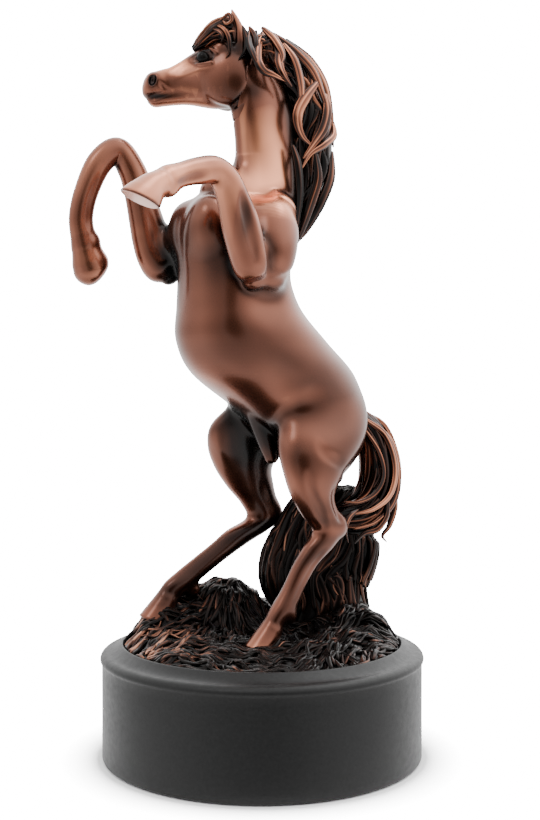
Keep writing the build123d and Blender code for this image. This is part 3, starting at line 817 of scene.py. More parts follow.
def tube_faces(rows, around):
    """Triangles of a tube of rows of points, closed by a first and a last point that follow them."""
    index = np.arange(rows * around).reshape(rows, around)
    a, b = index[:-1], index[1:]
    c, d = np.roll(b, -1, 1), np.roll(a, -1, 1)
    first, last = rows * around, rows * around + 1
    return np.vstack([
        np.stack([a, b, c], -1).reshape(-1, 3),
        np.stack([a, c, d], -1).reshape(-1, 3),
        np.stack([np.roll(index[0], -1), np.full(around, first), index[0]], -1),
        np.stack([index[-1], np.full(around, last), np.roll(index[-1], -1)], -1),
    ])


def turned(outline, around):
    """Points and triangles of rows of (radius, height) turned round the upright axis, the end rows on it."""
    angle = 2 * math.pi * np.arange(around) / around
    points = [(0, 0, outline[0][1])]
    for radius, height in outline[1:-1]:
        points += list(zip(radius * np.cos(angle), radius * np.sin(angle), np.broadcast_to(height, around)))
    points.append((0, 0, outline[-1][1]))
    ring = np.arange(around)
    after = (ring + 1) % around
    last = len(points) - 1
    faces = [np.stack([0 * ring, 1 + ring, 1 + after], 1)]
    for start in range(1, last - around, around):
        p, q = start + ring, start + after
        faces.append(np.stack([p, p + around, q + around], 1))
        faces.append(np.stack([p, q + around, q], 1))
    p, q = last - around + ring, last - around + after
    faces.append(np.stack([p, np.full(around, last), q], 1))
    return np.array(points), np.vstack(faces)


def add_mesh(name, points, faces, material, node, slot, normals=None, **values):
    """A mesh object in the part's frame that stands for a CAD node."""
    mesh = bpy.data.meshes.new(name)
    points = np.asarray(points, float) * MM
    faces = np.asarray(faces, np.int32)
    corners = faces.shape[1]
    mesh.vertices.add(len(points))
    mesh.vertices.foreach_set("co", points.astype(np.float32).ravel())
    mesh.loops.add(faces.size)
    mesh.loops.foreach_set("vertex_index", faces.ravel())
    mesh.polygons.add(len(faces))
    mesh.polygons.foreach_set("loop_start", np.arange(0, faces.size, corners, dtype=np.int32))
    mesh.polygons.foreach_set("use_smooth", np.ones(len(faces), bool))
    mesh.update(calc_edges=True)
    for key, value in values.items():
        layer = mesh.attributes.new(key, "FLOAT", "POINT")
        layer.data.foreach_set("value", np.asarray(value, np.float32))
    if normals is not None:
        mesh.normals_split_custom_set_from_vertices(normals.astype(np.float32))
    mesh.materials.append(material)
    piece = bpy.data.objects.new(name, mesh)
    bpy.context.scene.collection.objects.link(piece)
    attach(piece, "root")
    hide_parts(node)


# ---------------------------------------------------------------- materials
class Nodes:
    """The node tree of a material or of the world, with short ways to add and join nodes."""

    def __init__(self, name, holder=None):
        self.material = holder or bpy.data.materials.new(name)
        self.material.use_nodes = True
        self.tree = self.material.node_tree
        self.shader = self.tree.nodes.get("Principled BSDF")

    def add(self, kind, **settings):
        node = self.tree.nodes.new(kind)
        for key, value in settings.items():
            setattr(node, key, value)
        return node

    def join(self, out, into):
        self.tree.links.new(out, into)
        return out

    def attribute(self, name):
        return self.add("ShaderNodeAttribute", attribute_name=name).outputs["Fac"]

    def noise(self, scale, detail, roughness):
        place = self.add("ShaderNodeTexCoord").outputs["Object"]
        node = self.add("ShaderNodeTexNoise")
        node.inputs["Scale"].default_value = scale
        node.inputs["Detail"].default_value = detail
        node.inputs["Roughness"].default_value = roughness
        self.join(place, node.inputs["Vector"])
        return node.outputs["Fac"]

    def math(self, operation, a, b):
        node = self.add("ShaderNodeMath", operation=operation)
        for socket, value in zip(node.inputs, (a, b)):
            if isinstance(value, (int, float)):
                socket.default_value = value
            else:
                self.join(value, socket)
        return node.outputs[0]

    def spread(self, value, low, high, to_low=0.0, to_high=1.0):
        node = self.add("ShaderNodeMapRange")
        node.inputs["From Min"].default_value = low
        node.inputs["From Max"].default_value = high
        node.inputs["To Min"].default_value = to_low
        node.inputs["To Max"].default_value = to_high
        self.join(value, node.inputs["Value"])
        return node.outputs["Result"]

    def ramp(self, value, *stops):
        node = self.add("ShaderNodeValToRGB")
        ramp = node.color_ramp
        while len(ramp.elements) < len(stops):
            ramp.elements.new(0.5)
        for element, (position, colour) in zip(ramp.elements, stops):
            element.position = position
            element.color = (*colour, 1)
        self.join(value, node.inputs["Fac"])
        return node.outputs["Color"]

    def bump(self, height, strength, distance):
        node = self.add("ShaderNodeBump")
        node.inputs["Strength"].default_value = strength
        node.inputs["Distance"].default_value = distance
        self.join(height, node.inputs["Height"])
        self.join(node.outputs["Normal"], self.shader.inputs["Normal"])


def bronze(name, stops, rough, clouding=0.045, lacquer=0.5):
    """Lacquered bronze: its colour runs from black in the hollows to bare copper on the ridges."""
    n = Nodes(name)
    n.shader.inputs["Metallic"].default_value = 1.0
    tone = n.attribute("tone")
    clouds = n.spread(n.noise(45, 2, 0.5), 0.3, 0.7, -clouding, clouding)
    n.join(n.ramp(n.math("ADD", tone, clouds), *stops), n.shader.inputs["Base Color"])
    n.join(n.spread(n.noise(50, 2, 0.5), 0.3, 0.7, *rough), n.shader.inputs["Roughness"])
    n.shader.inputs["Coat Weight"].default_value = lacquer
    n.shader.inputs["Coat Roughness"].default_value = 0.16
    return n.material


def cloudy(name, colour_noise, darker, lighter, rough_noise, rough, metallic=0.0, specular=0.5):
    """A plain material whose colour and roughness vary in clouds."""
    n = Nodes(name)
    n.shader.inputs["Metallic"].default_value = metallic
    n.shader.inputs["Specular IOR Level"].default_value = specular
    n.join(n.ramp(n.noise(*colour_noise), (0.3, darker), (0.7, lighter)), n.shader.inputs["Base Color"])
    n.join(n.spread(n.noise(*rough_noise), 0.3, 0.7, *rough), n.shader.inputs["Roughness"])
    return n


BRONZE = bronze("bronze", [
    (0.0, (0.004, 0.003, 0.0025)),
    (0.2, (0.018, 0.007, 0.005)),
    (0.42, (0.075, 0.026, 0.015)),
    (0.72, (0.23, 0.080, 0.047)),
    (1.0, (1.0, 0.39, 0.21)),
], (0.27, 0.33), lacquer=0.5)
HAIR = bronze("hair_bronze", [
    (0.0, (0.002, 0.0015, 0.0015)),
    (0.4, (0.010, 0.006, 0.005)),
    (0.62, (0.055, 0.022, 0.015)),
    (0.82, (0.30, 0.10, 0.050)),
    (1.0, (0.70, 0.29, 0.16)),
], (0.24, 0.36), clouding=0.08, lacquer=0.35)
DARK_BRONZE = bronze("ground_bronze", [
    (0.0, (0.003, 0.0025, 0.0025)),
    (0.4, (0.010, 0.007, 0.006)),
    (0.62, (0.05, 0.022, 0.016)),
    (0.82, (0.30, 0.13, 0.08)),
    (1.0, (0.72, 0.36, 0.22)),
], (0.32, 0.48), clouding=0.10, lacquer=0.15)


def black_base():
    n = cloudy("black_base", (900, 4, 0.6), (0.003, 0.003, 0.003), (0.007, 0.007, 0.007),
               (420, 4, 0.6), (0.36, 0.46), specular=0.3)
    n.bump(n.noise(2600, 2, 0.6), 0.12, 0.0002)
    return n.material


def eye_enamel():
    return cloudy("eye_enamel", (500, 2, 0.5), (0.002, 0.002, 0.002), (0.008, 0.006, 0.005),
                  (900, 2, 0.5), (0.05, 0.09), specular=0.12).material


def steel():
    return cloudy("steel", (300, 4, 0.6), (0.40, 0.40, 0.39), (0.62, 0.62, 0.60),
                  (900, 3, 0.5), (0.22, 0.34), metallic=1.0).material


def black_felt():
    n = cloudy("black_felt", (1800, 5, 0.7), (0.010, 0.010, 0.010), (0.03, 0.03, 0.03),
               (900, 3, 0.6), (0.85, 0.98))
    n.bump(n.noise(2400, 4, 0.7), 0.6, 0.0004)
    return n.material


# ---------------------------------------------------------------- build the horse
def paint_shade_and_highlights(points, tone, places):
    """Painted shade and painted highlights: the tones with each place's amount taken off, fading out from its
    middle; a negative amount paints a highlight.
    """
    for centre, radii, amount in places:
        q = (points - np.asarray(centre)) / np.asarray(radii)
        tone = tone - amount * np.exp(-(q**2).sum(1))
    return tone


# Soft places of painted shade on the body, or of painted highlight where the amount is negative: (centre,
# radii, amount).
BODY_SHADE_AND_HIGHLIGHTS = [
    # Painted shade in the groin, on the sheath and on the insides of the hind legs.
    ((4, 3, 128), (16, 11, 13), 0.75),
    ((3, 14, 118), (13, 7, 15), 0.55),
    ((14, -8, 112), (12, 6, 12), 0.4),
    ((12, 18, 96), (9, 7, 12), 0.35),
    # Painted shade between the forelegs and behind the elbows.
    ((-31, 4, 200), (8, 12, 14), 0.25),
    ((-31, 12, 190), (8, 6, 13), 0.5),
    ((-27, 20, 186), (8, 7, 7), 0.4),
    ((-22, -10, 190), (7, 5, 12), 0.35),
    ((-24, -29.5, 205), (3, 3, 8), 0.35),
    # Painted shade on the crest side of the neck, under the mane, and on the throat.
    ((13.5, -6, 226), (4.5, 9, 24), 0.6),
    ((11, 3, 250), (4.5, 9, 14), 0.5),
    ((-5, -1, 258), (4, 9, 4), 0.3),
    # Painted shade on the hooves of the hind legs and on the side of the tail's root.
    ((-31, 25, 58), (9, 8, 7), 0.2),
    ((42, 3, 122), (8, 12, 10), 0.3),
    # Painted highlights on the near side: the neck and the near foreleg.
    ((-2, -9, 230), (13, 9, 27), -0.6),
    ((0, -20, 213), (13, 9, 9), -0.16),
    ((-58, -36, 213), (24, 12, 12), -0.16),
    # Painted shade low on the near hind leg and on the thigh.
    ((22, -28, 116), (14, 12, 20), 0.16),
    ((6, -24, 68), (16, 10, 24), 0.10),
]


# Painted shade for one side of the head, in the head's axes: eye socket, nostril, mouth, foot of the ear,
# jaw, furrow of the cheek, and two painted highlights.
FACE_SHADE_AND_HIGHLIGHTS = [
    ((23.6, 7, 271.8), (4.6, 3.5, 2.7), 0.8),
    ((42.6, 5.4, 263.2), (1.7, 2, 2.4), 0.85),
    ((41, 5, 257.2), (6, 4, 1.0), 0.7),
    ((9, 5, 275), (6, 5, 4), 0.4),
    ((15, 8, 256.5), (9, 6, 4), 0.14),
    ((31, 3, 262.5), (7, 5, 2), 0.12),
    ((35, 3, 269), (10, 4, 2.4), -0.3),
    ((16, 8, 270), (6, 4, 5), -0.14),
]


def body_tone(skin, shut):
    # Painted shade and painted highlights from the listed places, on top of the darker hollows.
    return paint_shade_and_highlights(skin, 0.74 - shut, BODY_SHADE_AND_HIGHLIGHTS)


def head_tone(skin, shut):
    local = HEAD.local(skin)
    tone = 0.76 - 1.15 * shut
    for side in (-1, 1):
        places = [((f, side * s, h), radii, amount) for (f, s, h), radii, amount in FACE_SHADE_AND_HIGHLIGHTS]
        # Painted shade and painted highlights from the listed places, on top of the darker hollows.
        tone = paint_shade_and_highlights(local, tone, places)
    return tone


def casting(name, grid, region, tone):
    """A piece cut out of the grid; tone gives its tones from the skin and how shut in it is."""
    points, quads, normal, skin = solid(grid, region, *BOXES[name])
    tones = np.clip(tone(skin, hollowness(grid, skin, normal)), 0, 1)
    add_mesh(name, points, quads, BRONZE, name + "_casting", "bronze", normal, tone=tones)


def build_body():
    grid = Grid(BODY_FORMS + HEAD_FORMS[:1], (-84, -52, 40), (58, 46, 286), BODY_STEP)
    for name in ("torso", "neck", "left_foreleg", "right_foreleg", "left_hind_leg", "right_hind_leg"):
        casting(name, grid, REGIONS.get(name, torso_region), body_tone)
    head_grid = Grid(TORSO_FORMS[1:2] + HEAD_FORMS, *BOXES["head"], HEAD_STEP)
    casting("head", head_grid, HEAD_REGION, head_tone)


def build_eyes():
    enamel = eye_enamel()
    steps = 24
    arc = math.pi * np.arange(steps + 1) / steps
    points, faces = turned(np.stack([EYE_RADIUS * np.sin(arc), EYE_RADIUS * np.cos(arc)], 1), 40)
    for name, side in (("left_eye", -1), ("right_eye", 1)):
        centre = HEAD.world([(EYE[0], side * EYE[1], EYE[2])])[0]
        add_mesh(name, points + centre, faces, enamel, name, "eye")


# ---------------------------------------------------------------- strands: hair, bark and grass
class Strands:
    """Many tapered, grooved strands gathered into one mesh of closed tubes."""

    def __init__(self):
        self.points = []
        self.faces = []
        self.tones = []
        self.count = 0

    def add(self, path, out, width, height, ring=12, grooves=4, groove_depth=0.2, tone=0.6, phase=0.0,
            twist=0.0):
        """A strand along path. Its back faces out; width and height are half sizes at each point."""
        path = np.asarray(path, float)
        along = unit(np.gradient(path, axis=0))
        out = unit(out - along * (out * along).sum(1)[:, None])
        side = np.cross(along, out)
        angle = np.linspace(0, 2 * math.pi, ring, endpoint=False)
        turn = phase + twist * np.linspace(0, 1, len(path))[:, None]
        ridge = 0.5 + 0.34 * np.cos(grooves * angle[None] + turn)
        ridge = ridge + 0.16 * np.cos((2 * grooves + 1) * angle[None] - 2 * turn)
        size = 1 - groove_depth * (1 - ridge)
        w = (width[:, None] * np.cos(angle) * size)[:, :, None]
        h = (height[:, None] * np.sin(angle) * size)[:, :, None]
        rings = path[:, None] + side[:, None] * w + out[:, None] * h
        facing = np.clip(np.sin(angle), -0.6,
                         1) + 0.35 * np.sin(2.2 * phase + 7 * np.linspace(0, 1, len(path))[:, None])
        colour = tone + 0.30 * (facing - 0.35) + 0.55 * (ridge - 0.66)
        n = len(path)
        self.points.append(rings.reshape(-1, 3))
        self.points.append(path[[0, -1]])
        self.tones.append(np.broadcast_to(colour, (n, ring)).reshape(-1))
        self.tones.append([tone, tone])
        self.faces.append(self.count + tube_faces(n, ring)[:, ::-1])
        self.count += n * ring + 2

    def add_mass(self, points, faces, tone):
        self.points.append(points)
        self.faces.append(np.asarray(faces) + self.count)
        self.tones.append(np.full(len(points), tone))
        self.count += len(points)

    def make(self, name, material, node, slot, shade=None):
        points = np.vstack(self.points)
        tones = np.concatenate(self.tones)
        if shade is not None:
            tones = tones + shade(points)
        add_mesh(name, points, np.vstack(self.faces), material, node, slot, tone=np.clip(tones, 0, 1))


def tapered(n, root=0.35, tip=0.12, rise=0.2, fall=0.55):
    """A strand's relative thickness along its length."""
    t = np.linspace(0, 1, n)
    grow = root + (1 - root) * np.clip(t / rise, 0, 1) ** 0.7
    shrink = tip + (1 - tip) * np.clip((1 - t) / (1 - fall), 0, 1) ** 0.8
    return np.minimum(grow, shrink)


class Spine:
    """A hair mass's own axis with oval sections: rows of (x, y, z, half across, half deep)."""

    def __init__(self, rows, side=(0, 1, 0)):
        self.table = smooth_rows(rows, 12)
        self.along = unit(np.gradient(self.table[:, :3], axis=0))
        side = np.asarray(side, float)
        self.across = unit(side - self.along * (self.along @ side)[:, None])
        self.deep = np.cross(self.across, self.along)

    def pick(self, table, t):
        where = np.clip(t, 0, 1) * (len(table) - 1)
        i = np.minimum(where.astype(int), len(table) - 2)
        f = (where - i)[:, None]
        return table[i] * (1 - f) + table[i + 1] * f

    def place(self, t, angle, lift):
        """Points round the mass at share t of its length: angle 0 is the deep way, 90 degrees across."""
        t = np.asarray(t, float)
        row = self.pick(self.table, t)
        a = self.pick(self.across, t) * (np.sin(angle) * row[:, 3])[:, None]
        d = self.pick(self.deep, t) * (np.cos(angle) * row[:, 4])[:, None]
        a_out = self.pick(self.across, t) * (np.sin(angle) / np.maximum(row[:, 3], 0.5))[:, None]
        d_out = self.pick(self.deep, t) * (np.cos(angle) / np.maximum(row[:, 4], 0.5))[:, None]
        return row[:, :3] + (a + d) * np.asarray(lift)[:, None], unit(a_out + d_out)

    def mass(self, share, stations=60, around=36):
        """The closed body under the strands."""
        t = np.linspace(0, 1, stations)
        angles = np.linspace(0, 2 * math.pi, around, endpoint=False)
        grid = np.stack([self.place(t, np.full(stations, a), np.full(stations, share))[0] for a in angles], 1)
        ends = self.pick(self.table, np.array([0.0, 1.0]))[:, :3]
        points = np.vstack([grid.reshape(-1, 3), ends])
        return points, tube_faces(stations, around)


def lay_strands(hair, spine, count, starts, lengths, angles, drift, lift, width, tone, wave=0.18, steps=30,
                flick=0.0,
                ring=12, grooves=4):
    """Strands laid along a mass; each pair is the least and the greatest value of a random choice."""
    for _ in range(count):
        begin = rng.uniform(*starts)
        end = min(begin + rng.uniform(*lengths), 1.0)
        t = np.linspace(begin, end, steps)
        share = np.linspace(0, 1, steps)
        start_angle = rng.uniform(*angles)
        turn = rng.uniform(*drift) * (1 if start_angle > 0 else -1)
        swing = wave * rng.uniform(0.4,
                                   1.2) * np.sin(2 * math.pi * (rng.uniform(0.7,
                                                                            1.7) * share + rng.uniform(0, 1)))
        angle = start_angle - turn * share + swing
        height = rng.uniform(*lift) + flick * rng.uniform(-0.2, 1) * share**3
        height = height - 0.18 * (1 - np.clip(share / 0.12, 0, 1))
        path, out = spine.place(t, angle, height)
        thick = rng.uniform(*width)
        size = thick * tapered(steps)
        hair.add(path, out, size, size * rng.uniform(0.55, 0.85), ring, grooves, 0.26, rng.uniform(*tone),
                 rng.uniform(0, 6.3), rng.uniform(-2, 2))


def lay_by_hand(hair, rows, out, width, height, tone, axes=WORLD, steps=9, grooves=6, ring=24):
    """One strand through given points, thickest in its middle."""
    path = axes.world(smooth_rows(rows, steps))
    n = len(path)
    size = tapered(n, root=0.4, tip=0.15, rise=0.25, fall=0.5)
    outs = np.broadcast_to(np.asarray(out, float) @ axes.rows, path.shape)
    hair.add(path, outs, width * size, height * size, ring, grooves, 0.28, 0.9 * tone, rng.uniform(0, 6.3),
             rng.uniform(-1, 1))


MANE = [
    (-6, MID + 2.5, 279.5, 3.5, 3),
    (-0.5, MID + 1, 278.6, 6, 4.2),
    (6, MID, 275.6, 7, 5.4),
    (14, MID, 269, 7.8, 7.2),
    (20, MID - 0.5, 260.5, 8.2, 8.6),
    (22.6, MID - 1, 250, 8.4, 9.2),
    (22.8, MID - 1.5, 240, 8.4, 9.4),
    (21.6, MID - 1.5, 228, 7.6, 8.6),
    (18.6, MID - 1.2, 215, 5.6, 6.2),
    (15.4, MID - 1, 205, 3.2, 3.4),
    (13.6, MID - 1, 198.4, 0.8, 0.8),
]
# Strands that stand out from the rest: rows of (x, y, z) with half width, half height and tone.
MANE_STRANDS = [
    ([(1.4, 1, 283), (-3.1, -3, 276), (-5.2, -6.4, 269.2), (-3.9, -8.4, 265.1), (0, -9.4, 263.6),
      (6, -9, 262)], 1.7, 1.1, 0.72),
    ([(4, 0, 281.5), (4.5, -5, 275), (3, -8, 269), (4, -9.6, 264.5), (8, -9.6, 260)], 1.7, 1.1, 0.6),
    ([(7.8, -3, 278.6), (10.5, -7, 271.3), (12.1, -9, 262.1), (11.9, -10, 254), (10.7, -9, 246.2)], 1.6,
     1.1, 0.78),
    ([(20.6, -8, 263.8), (14.2, -10, 257), (10.4, -10.6, 251), (10, -10.6, 246.2), (12.4, -10, 241.5),
      (17.1, -9.4, 238.3)],
     1.9, 1.2, 0.84),
    ([(24.7, -7, 260), (24.8, -8.4, 253.2), (22.3, -9.4, 245.6), (17.8, -9.6, 239.1), (13.1, -9.4, 233)],
     1.8, 1.1, 0.76),
    ([(31.2, -3, 250.4), (29.5, -6, 244.3), (23, -9, 239.4), (16.6, -9.6, 235.2), (12.6, -9, 229)], 1.3,
     1.0, 0.84),
    ([(10.6, 0, 281), (20.6, -1.4, 274), (27, -2.4, 265), (29.6, -3.4, 253.2), (30.6, -4, 240)], 1.8, 1.2,
     0.7),
    ([(4.2, -1, 282.2), (12, -4, 276.2), (19, -6.6, 268.6), (23, -8, 259), (26.6, -7.6, 250)], 1.7, 1.1,
     0.66),
    ([(0, 0, 284.4), (3, -4.4, 279), (4.8, -7.5, 272.4), (2.5, -9, 267.4)], 1.5, 1.0, 0.72),
    ([(-4.4, 1, 283.4), (-7.2, -2.9, 276.6), (-7.2, -6.4, 270.8), (-5, -7.4, 265.6)], 1.5, 1.0, 0.5),
    ([(8.6, -8.6, 238), (10.7, -9, 231), (12.1, -8.4, 221.5), (12.8, -6, 211), (13.4, -2, 200)], 1.6, 1.1,
     0.42),
    ([(29.6, -4.4, 238.3), (27.6, -6.6, 227.2), (22.8, -6.4, 216.2), (18.5, -3, 206.4), (14.2, 0, 200)],
     1.7, 1.1, 0.46),
    ([(19, -9, 236), (20, -9.4, 226), (17.6, -8, 216), (15.6, -4.6, 206), (13.6, -1, 198)], 1.7, 1.1, 0.5),
]


def build_mane():
    hair = Strands()
    spine = Spine(MANE)
    hair.add_mass(*spine.mass(0.86), 0.08)
    wide = (-2.5, 2.5)
    lay_strands(hair, spine, 34, (0.0, 0.5), (0.25, 0.5), wide, (0.2, 1.1), (0.80, 0.90), (2.0, 3.2),
                (0.2, 0.42),
                wave=0.3, ring=18, grooves=6)
    lay_strands(hair, spine, 34, (0.35, 0.7), (0.25, 0.6), wide, (0.0, 0.8), (0.84, 0.95), (1.8, 2.8),
                (0.2, 0.46),
                wave=0.3, ring=18, grooves=6)
    lay_strands(hair, spine, 22, (0.0, 0.45), (0.15, 0.35), wide, (0.2, 1.0), (0.92, 1.0), (1.5, 2.4),
                (0.4, 0.7),
                wave=0.34, flick=0.04, ring=16, grooves=5)
    lay_strands(hair, spine, 16, (0.0, 0.16), (0.08, 0.2), wide, (0.2, 1.0), (0.94, 1.04), (1.2, 1.9),
                (0.4, 0.7),
                wave=0.5, flick=0.04, ring=16, grooves=5)
    lay_strands(hair, spine, 12, (0.45, 0.7), (0.2, 0.4), wide, (0.0, 0.6), (0.94, 1.0), (1.3, 2.1),
                (0.3, 0.56),
                wave=0.3, flick=0.08, ring=16, grooves=5)
    for rows, width, height, tone in MANE_STRANDS:
        lay_by_hand(hair, rows, (0, -1, 0), 1.35 * width, height, tone)
        back = [(x, 2 * (MID - 0.5) - y, z) for x, y, z in rows]
        lay_by_hand(hair, back, (0, 1, 0), width, height, tone)
    hair.make("mane", HAIR, "mane_casting", "hair")


FORELOCK = [
    (7, 0, 280.5, 4, 2.5),
    (11, 0, 282.6, 5.4, 4),
    (15.5, 0, 282.6, 5.8, 4.4),
    (20, 0, 280.6, 5.2, 3.8),
    (24, 0, 278, 3.8, 2.4),
    (27, 0, 275.8, 1.6, 1.2),
]
FORELOCK_STRANDS = [
    ([(9, -1, 286), (14, -2.6, 287.4), (19, -3.6, 285.6), (23, -3.8, 282), (26.6, -3, 277)], 1.3, 1.0, 0.7),
    ([(10, -4, 285), (14, -5.2, 285.6), (18.6, -6, 283.4), (22.4, -6, 280), (26, -5, 276.4)], 1.3, 1.0, 0.52),
    ([(10, 1, 286), (15, 1, 287.6), (20, 0.6, 285.6), (24.6, 0, 281.4), (27.6, -0.6, 277)], 1.3, 1.0, 0.4),
    ([(18.4, -5.4, 284.4), (14.8, -7.4, 282), (12.8, -8.4, 278), (12.6, -8.7, 273.6), (14, -8.5, 270.6)],
     1.1, 0.9, 0.66),
    ([(16.2, -6.2, 286), (13, -6.4, 288), (11.8, -6.8, 285.6), (13.8, -7.2, 284), (15.2, -7, 285.4)], 0.9,
     0.8, 0.74),
    ([(20, -5.6, 283), (16.4, -7.2, 281), (15, -8, 278.8), (15.8, -8.4, 276.6)], 0.9, 0.8, 0.56),
    ([(7.8, -5.4, 284), (6, -7, 279), (6.4, -8, 273.6), (9, -8.6, 270)], 1.2, 0.9, 0.36),
    ([(5, -4, 284), (2.6, -6.6, 279), (2.6, -8, 273.6), (4.4, -8.4, 268)], 1.3, 1.0, 0.5),
]


def build_forelock():
    hair = Strands()
    rows = np.array(FORELOCK, float)
    rows[:, :3] = HEAD.world(rows[:, :3])
    spine = Spine(rows, side=HEAD.rows[1])
    hair.add_mass(*spine.mass(0.84), 0.08)
    wide = (-2.6, 2.6)
    lay_strands(hair, spine, 24, (0.0, 0.4), (0.4, 0.7), wide, (-0.3, 0.5), (0.82, 0.95), (0.9, 1.4),
                (0.2, 0.42), steps=18)
    lay_strands(hair, spine, 14, (0.0, 0.35), (0.4, 0.65), wide, (-0.2, 0.4), (0.94, 1.03), (0.7, 1.1),
                (0.42, 0.72),
                steps=18, flick=0.1)
    for points, width, height, tone in FORELOCK_STRANDS:
        lay_by_hand(hair, points, (0.2, -1, 0.3), width, height, tone, axes=HEAD)
        back = [(f, -s, h) for f, s, h in points]
        lay_by_hand(hair, back, (0.2, 1, 0.3), width, height, tone, axes=HEAD)
    hair.make("forelock", HAIR, "forelock_casting", "hair")


TAIL = [
    (38, MID, 130, 3.5, 4),
    (45, MID - 0.5, 130.6, 4.6, 4.6),
    (50.6, MID - 2, 126, 5.6, 5.4),
    (53.6, MID - 4, 117, 6.6, 6.4),
    (53.6, MID - 6, 106, 7.2, 7.6),
    (49.6, MID - 7, 97, 7, 8.6),
    (42.5, MID - 7.4, 92, 6, 8),
    (34, MID - 6.5, 91, 4.4, 5.4),
    (28.5, MID - 5.5, 92.5, 2, 2.4),
]
TAIL_STRANDS = [
    ([(46, -4, 131), (54, -7, 124), (56.4, -10.5, 112), (52.6, -13, 101), (44, -13.6, 95), (34, -12, 93)],
     1.9, 1.3, 0.84),
    ([(50, -3, 130.4), (57.6, -6.4, 121), (59, -9.4, 108), (55, -11.6, 97), (46, -12.6, 89.6),
      (36, -11, 87)], 1.7, 1.2, 0.74),
    ([(47, 1, 134), (57, -2, 128), (61.2, -5.4, 115), (60.4, -7.4, 102), (56, -8.6, 92), (53, -8.6, 84)],
     1.7, 1.2, 0.66),
    ([(45, -4.4, 127.6), (50, -8, 118), (50.6, -11, 108.6), (46, -12.4, 101.4), (38.6, -12, 98),
      (32, -10, 98)], 1.6, 1.1, 0.62),
    ([(52, -12, 100), (50.6, -13, 92), (46, -13, 86.6), (40, -12, 85), (36, -11, 81)], 1.6, 1.1, 0.5),
    ([(58, -8, 104), (57.6, -9.4, 95), (54.4, -10, 87.6), (51, -9.6, 83.4), (53.6, -9, 80.4)], 1.3, 1.0,
     0.62),
    ([(38, -11.6, 95), (32.6, -12.6, 92), (30.6, -13, 87), (32, -13, 82)], 1.3, 1.0, 0.6),
]


def build_tail():
    hair = Strands()
    spine = Spine(TAIL)
    hair.add_mass(*spine.mass(0.86), 0.08)
    round_about = (-3.14, 3.14)
    lay_strands(hair, spine, 44, (0.0, 0.45), (0.4, 0.65), round_about, (-0.4, 0.8), (0.84, 0.94),
                (1.7, 2.7), (0.22, 0.46),
                wave=0.14, ring=18, grooves=6)
    lay_strands(hair, spine, 22, (0.0, 0.4), (0.4, 0.7), round_about, (-0.3, 0.6), (0.92, 1.02),
                (1.3, 2.1), (0.4, 0.68),
                wave=0.14, flick=0.08, ring=16, grooves=5)
    for rows, width, height, tone in TAIL_STRANDS:
        lay_by_hand(hair, rows, (0.2, -1, 0), width, height, tone)
    hair.make("tail", HAIR, "tail_casting", "hair")


# ---------------------------------------------------------------- stump
STUMP_SIDE = (0.866, -0.5, 0)
STUMP = [
    (33.3, 9.6, 41, 25, 13),
    (33.3, 9.6, 50, 21, 11.4),
    (33.1, 9.8, 57, 19, 10.4),
    (31.4, 10.7, 66, 22.4, 10),
    (32.8, 9.9, 72, 22.6, 9.8),
    (35, 8.7, 78, 22, 9.6),
    (38, 7, 88, 19.6, 9),
    (42, 4.8, 95, 14, 8),
    (44.5, 3.4, 100, 8, 6),
    (45.2, 3, 103, 2.4, 2.4),
]


def build_stump():
    bark = Strands()
    spine = Spine(STUMP, side=STUMP_SIDE)
    bark.add_mass(*spine.mass(0.92, around=60), 0.06)
    round_about = (-3.14, 3.14)
    lay_strands(bark, spine, 90, (0.0, 0.45), (0.35, 0.7), round_about, (-0.25, 0.25), (0.90, 0.98),
                (1.2, 2.4), (0.2, 0.42),
                wave=0.10, steps=26)
    lay_strands(bark, spine, 70, (0.0, 0.55), (0.3, 0.6), round_about, (-0.3, 0.3), (0.97, 1.03),
                (0.7, 1.4), (0.26, 0.56),
                wave=0.12, steps=26)
    bark.make("stump", DARK_BRONZE, "stump_casting", "bark")


# ---------------------------------------------------------------- ground
GROUND_RADIUS = 54.0
SOIL_HEIGHT = 43.2
EDGE_HEIGHT = 43.0
GROUND_UNDERSIDE = 42.05
BLADES = 1500
MOUNDS = [
    (-31, 24, 15, 11.0),
    (-14, 31, 12, 13.0),
    (2, 27, 13, 14.5),
    (-2, 14, 12, 9.0),
    (38, -14, 16, 9.0),
    (40, 8, 16, 9.0),
    (-36, -8, 14, 4.0),
    (14, -30, 20, 3.5),
    (-12, -12, 15, 2.5),
    (24, 34, 16, 8.0),
]
# Small waves in the soil: (turns along x, turns along y, phase, height).
RIPPLES = [(0.31, 0.22, 0.4, 0.7), (-0.27, 0.41, 1.7, 0.65), (0.63, -0.35, 2.9, 0.5), (0.5, 0.71, 4.1, 0.4)]


def ground_height(x, y):
    """The soil's height above the plinth's underside."""
    r = np.hypot(x, y)
    height = SOIL_HEIGHT + 0 * x
    for cx, cy, reach, rise in MOUNDS:
        height = height + rise * np.exp(-((x - cx) ** 2 + (y - cy) ** 2) / reach**2)
    for kx, ky, phase, size in RIPPLES:
        height = height + size * np.sin(kx * x + ky * y + phase)
    edge = np.clip((GROUND_RADIUS - r) / 7, 0, 1)
    return EDGE_HEIGHT + (height - EDGE_HEIGHT) * edge * (2 - edge)


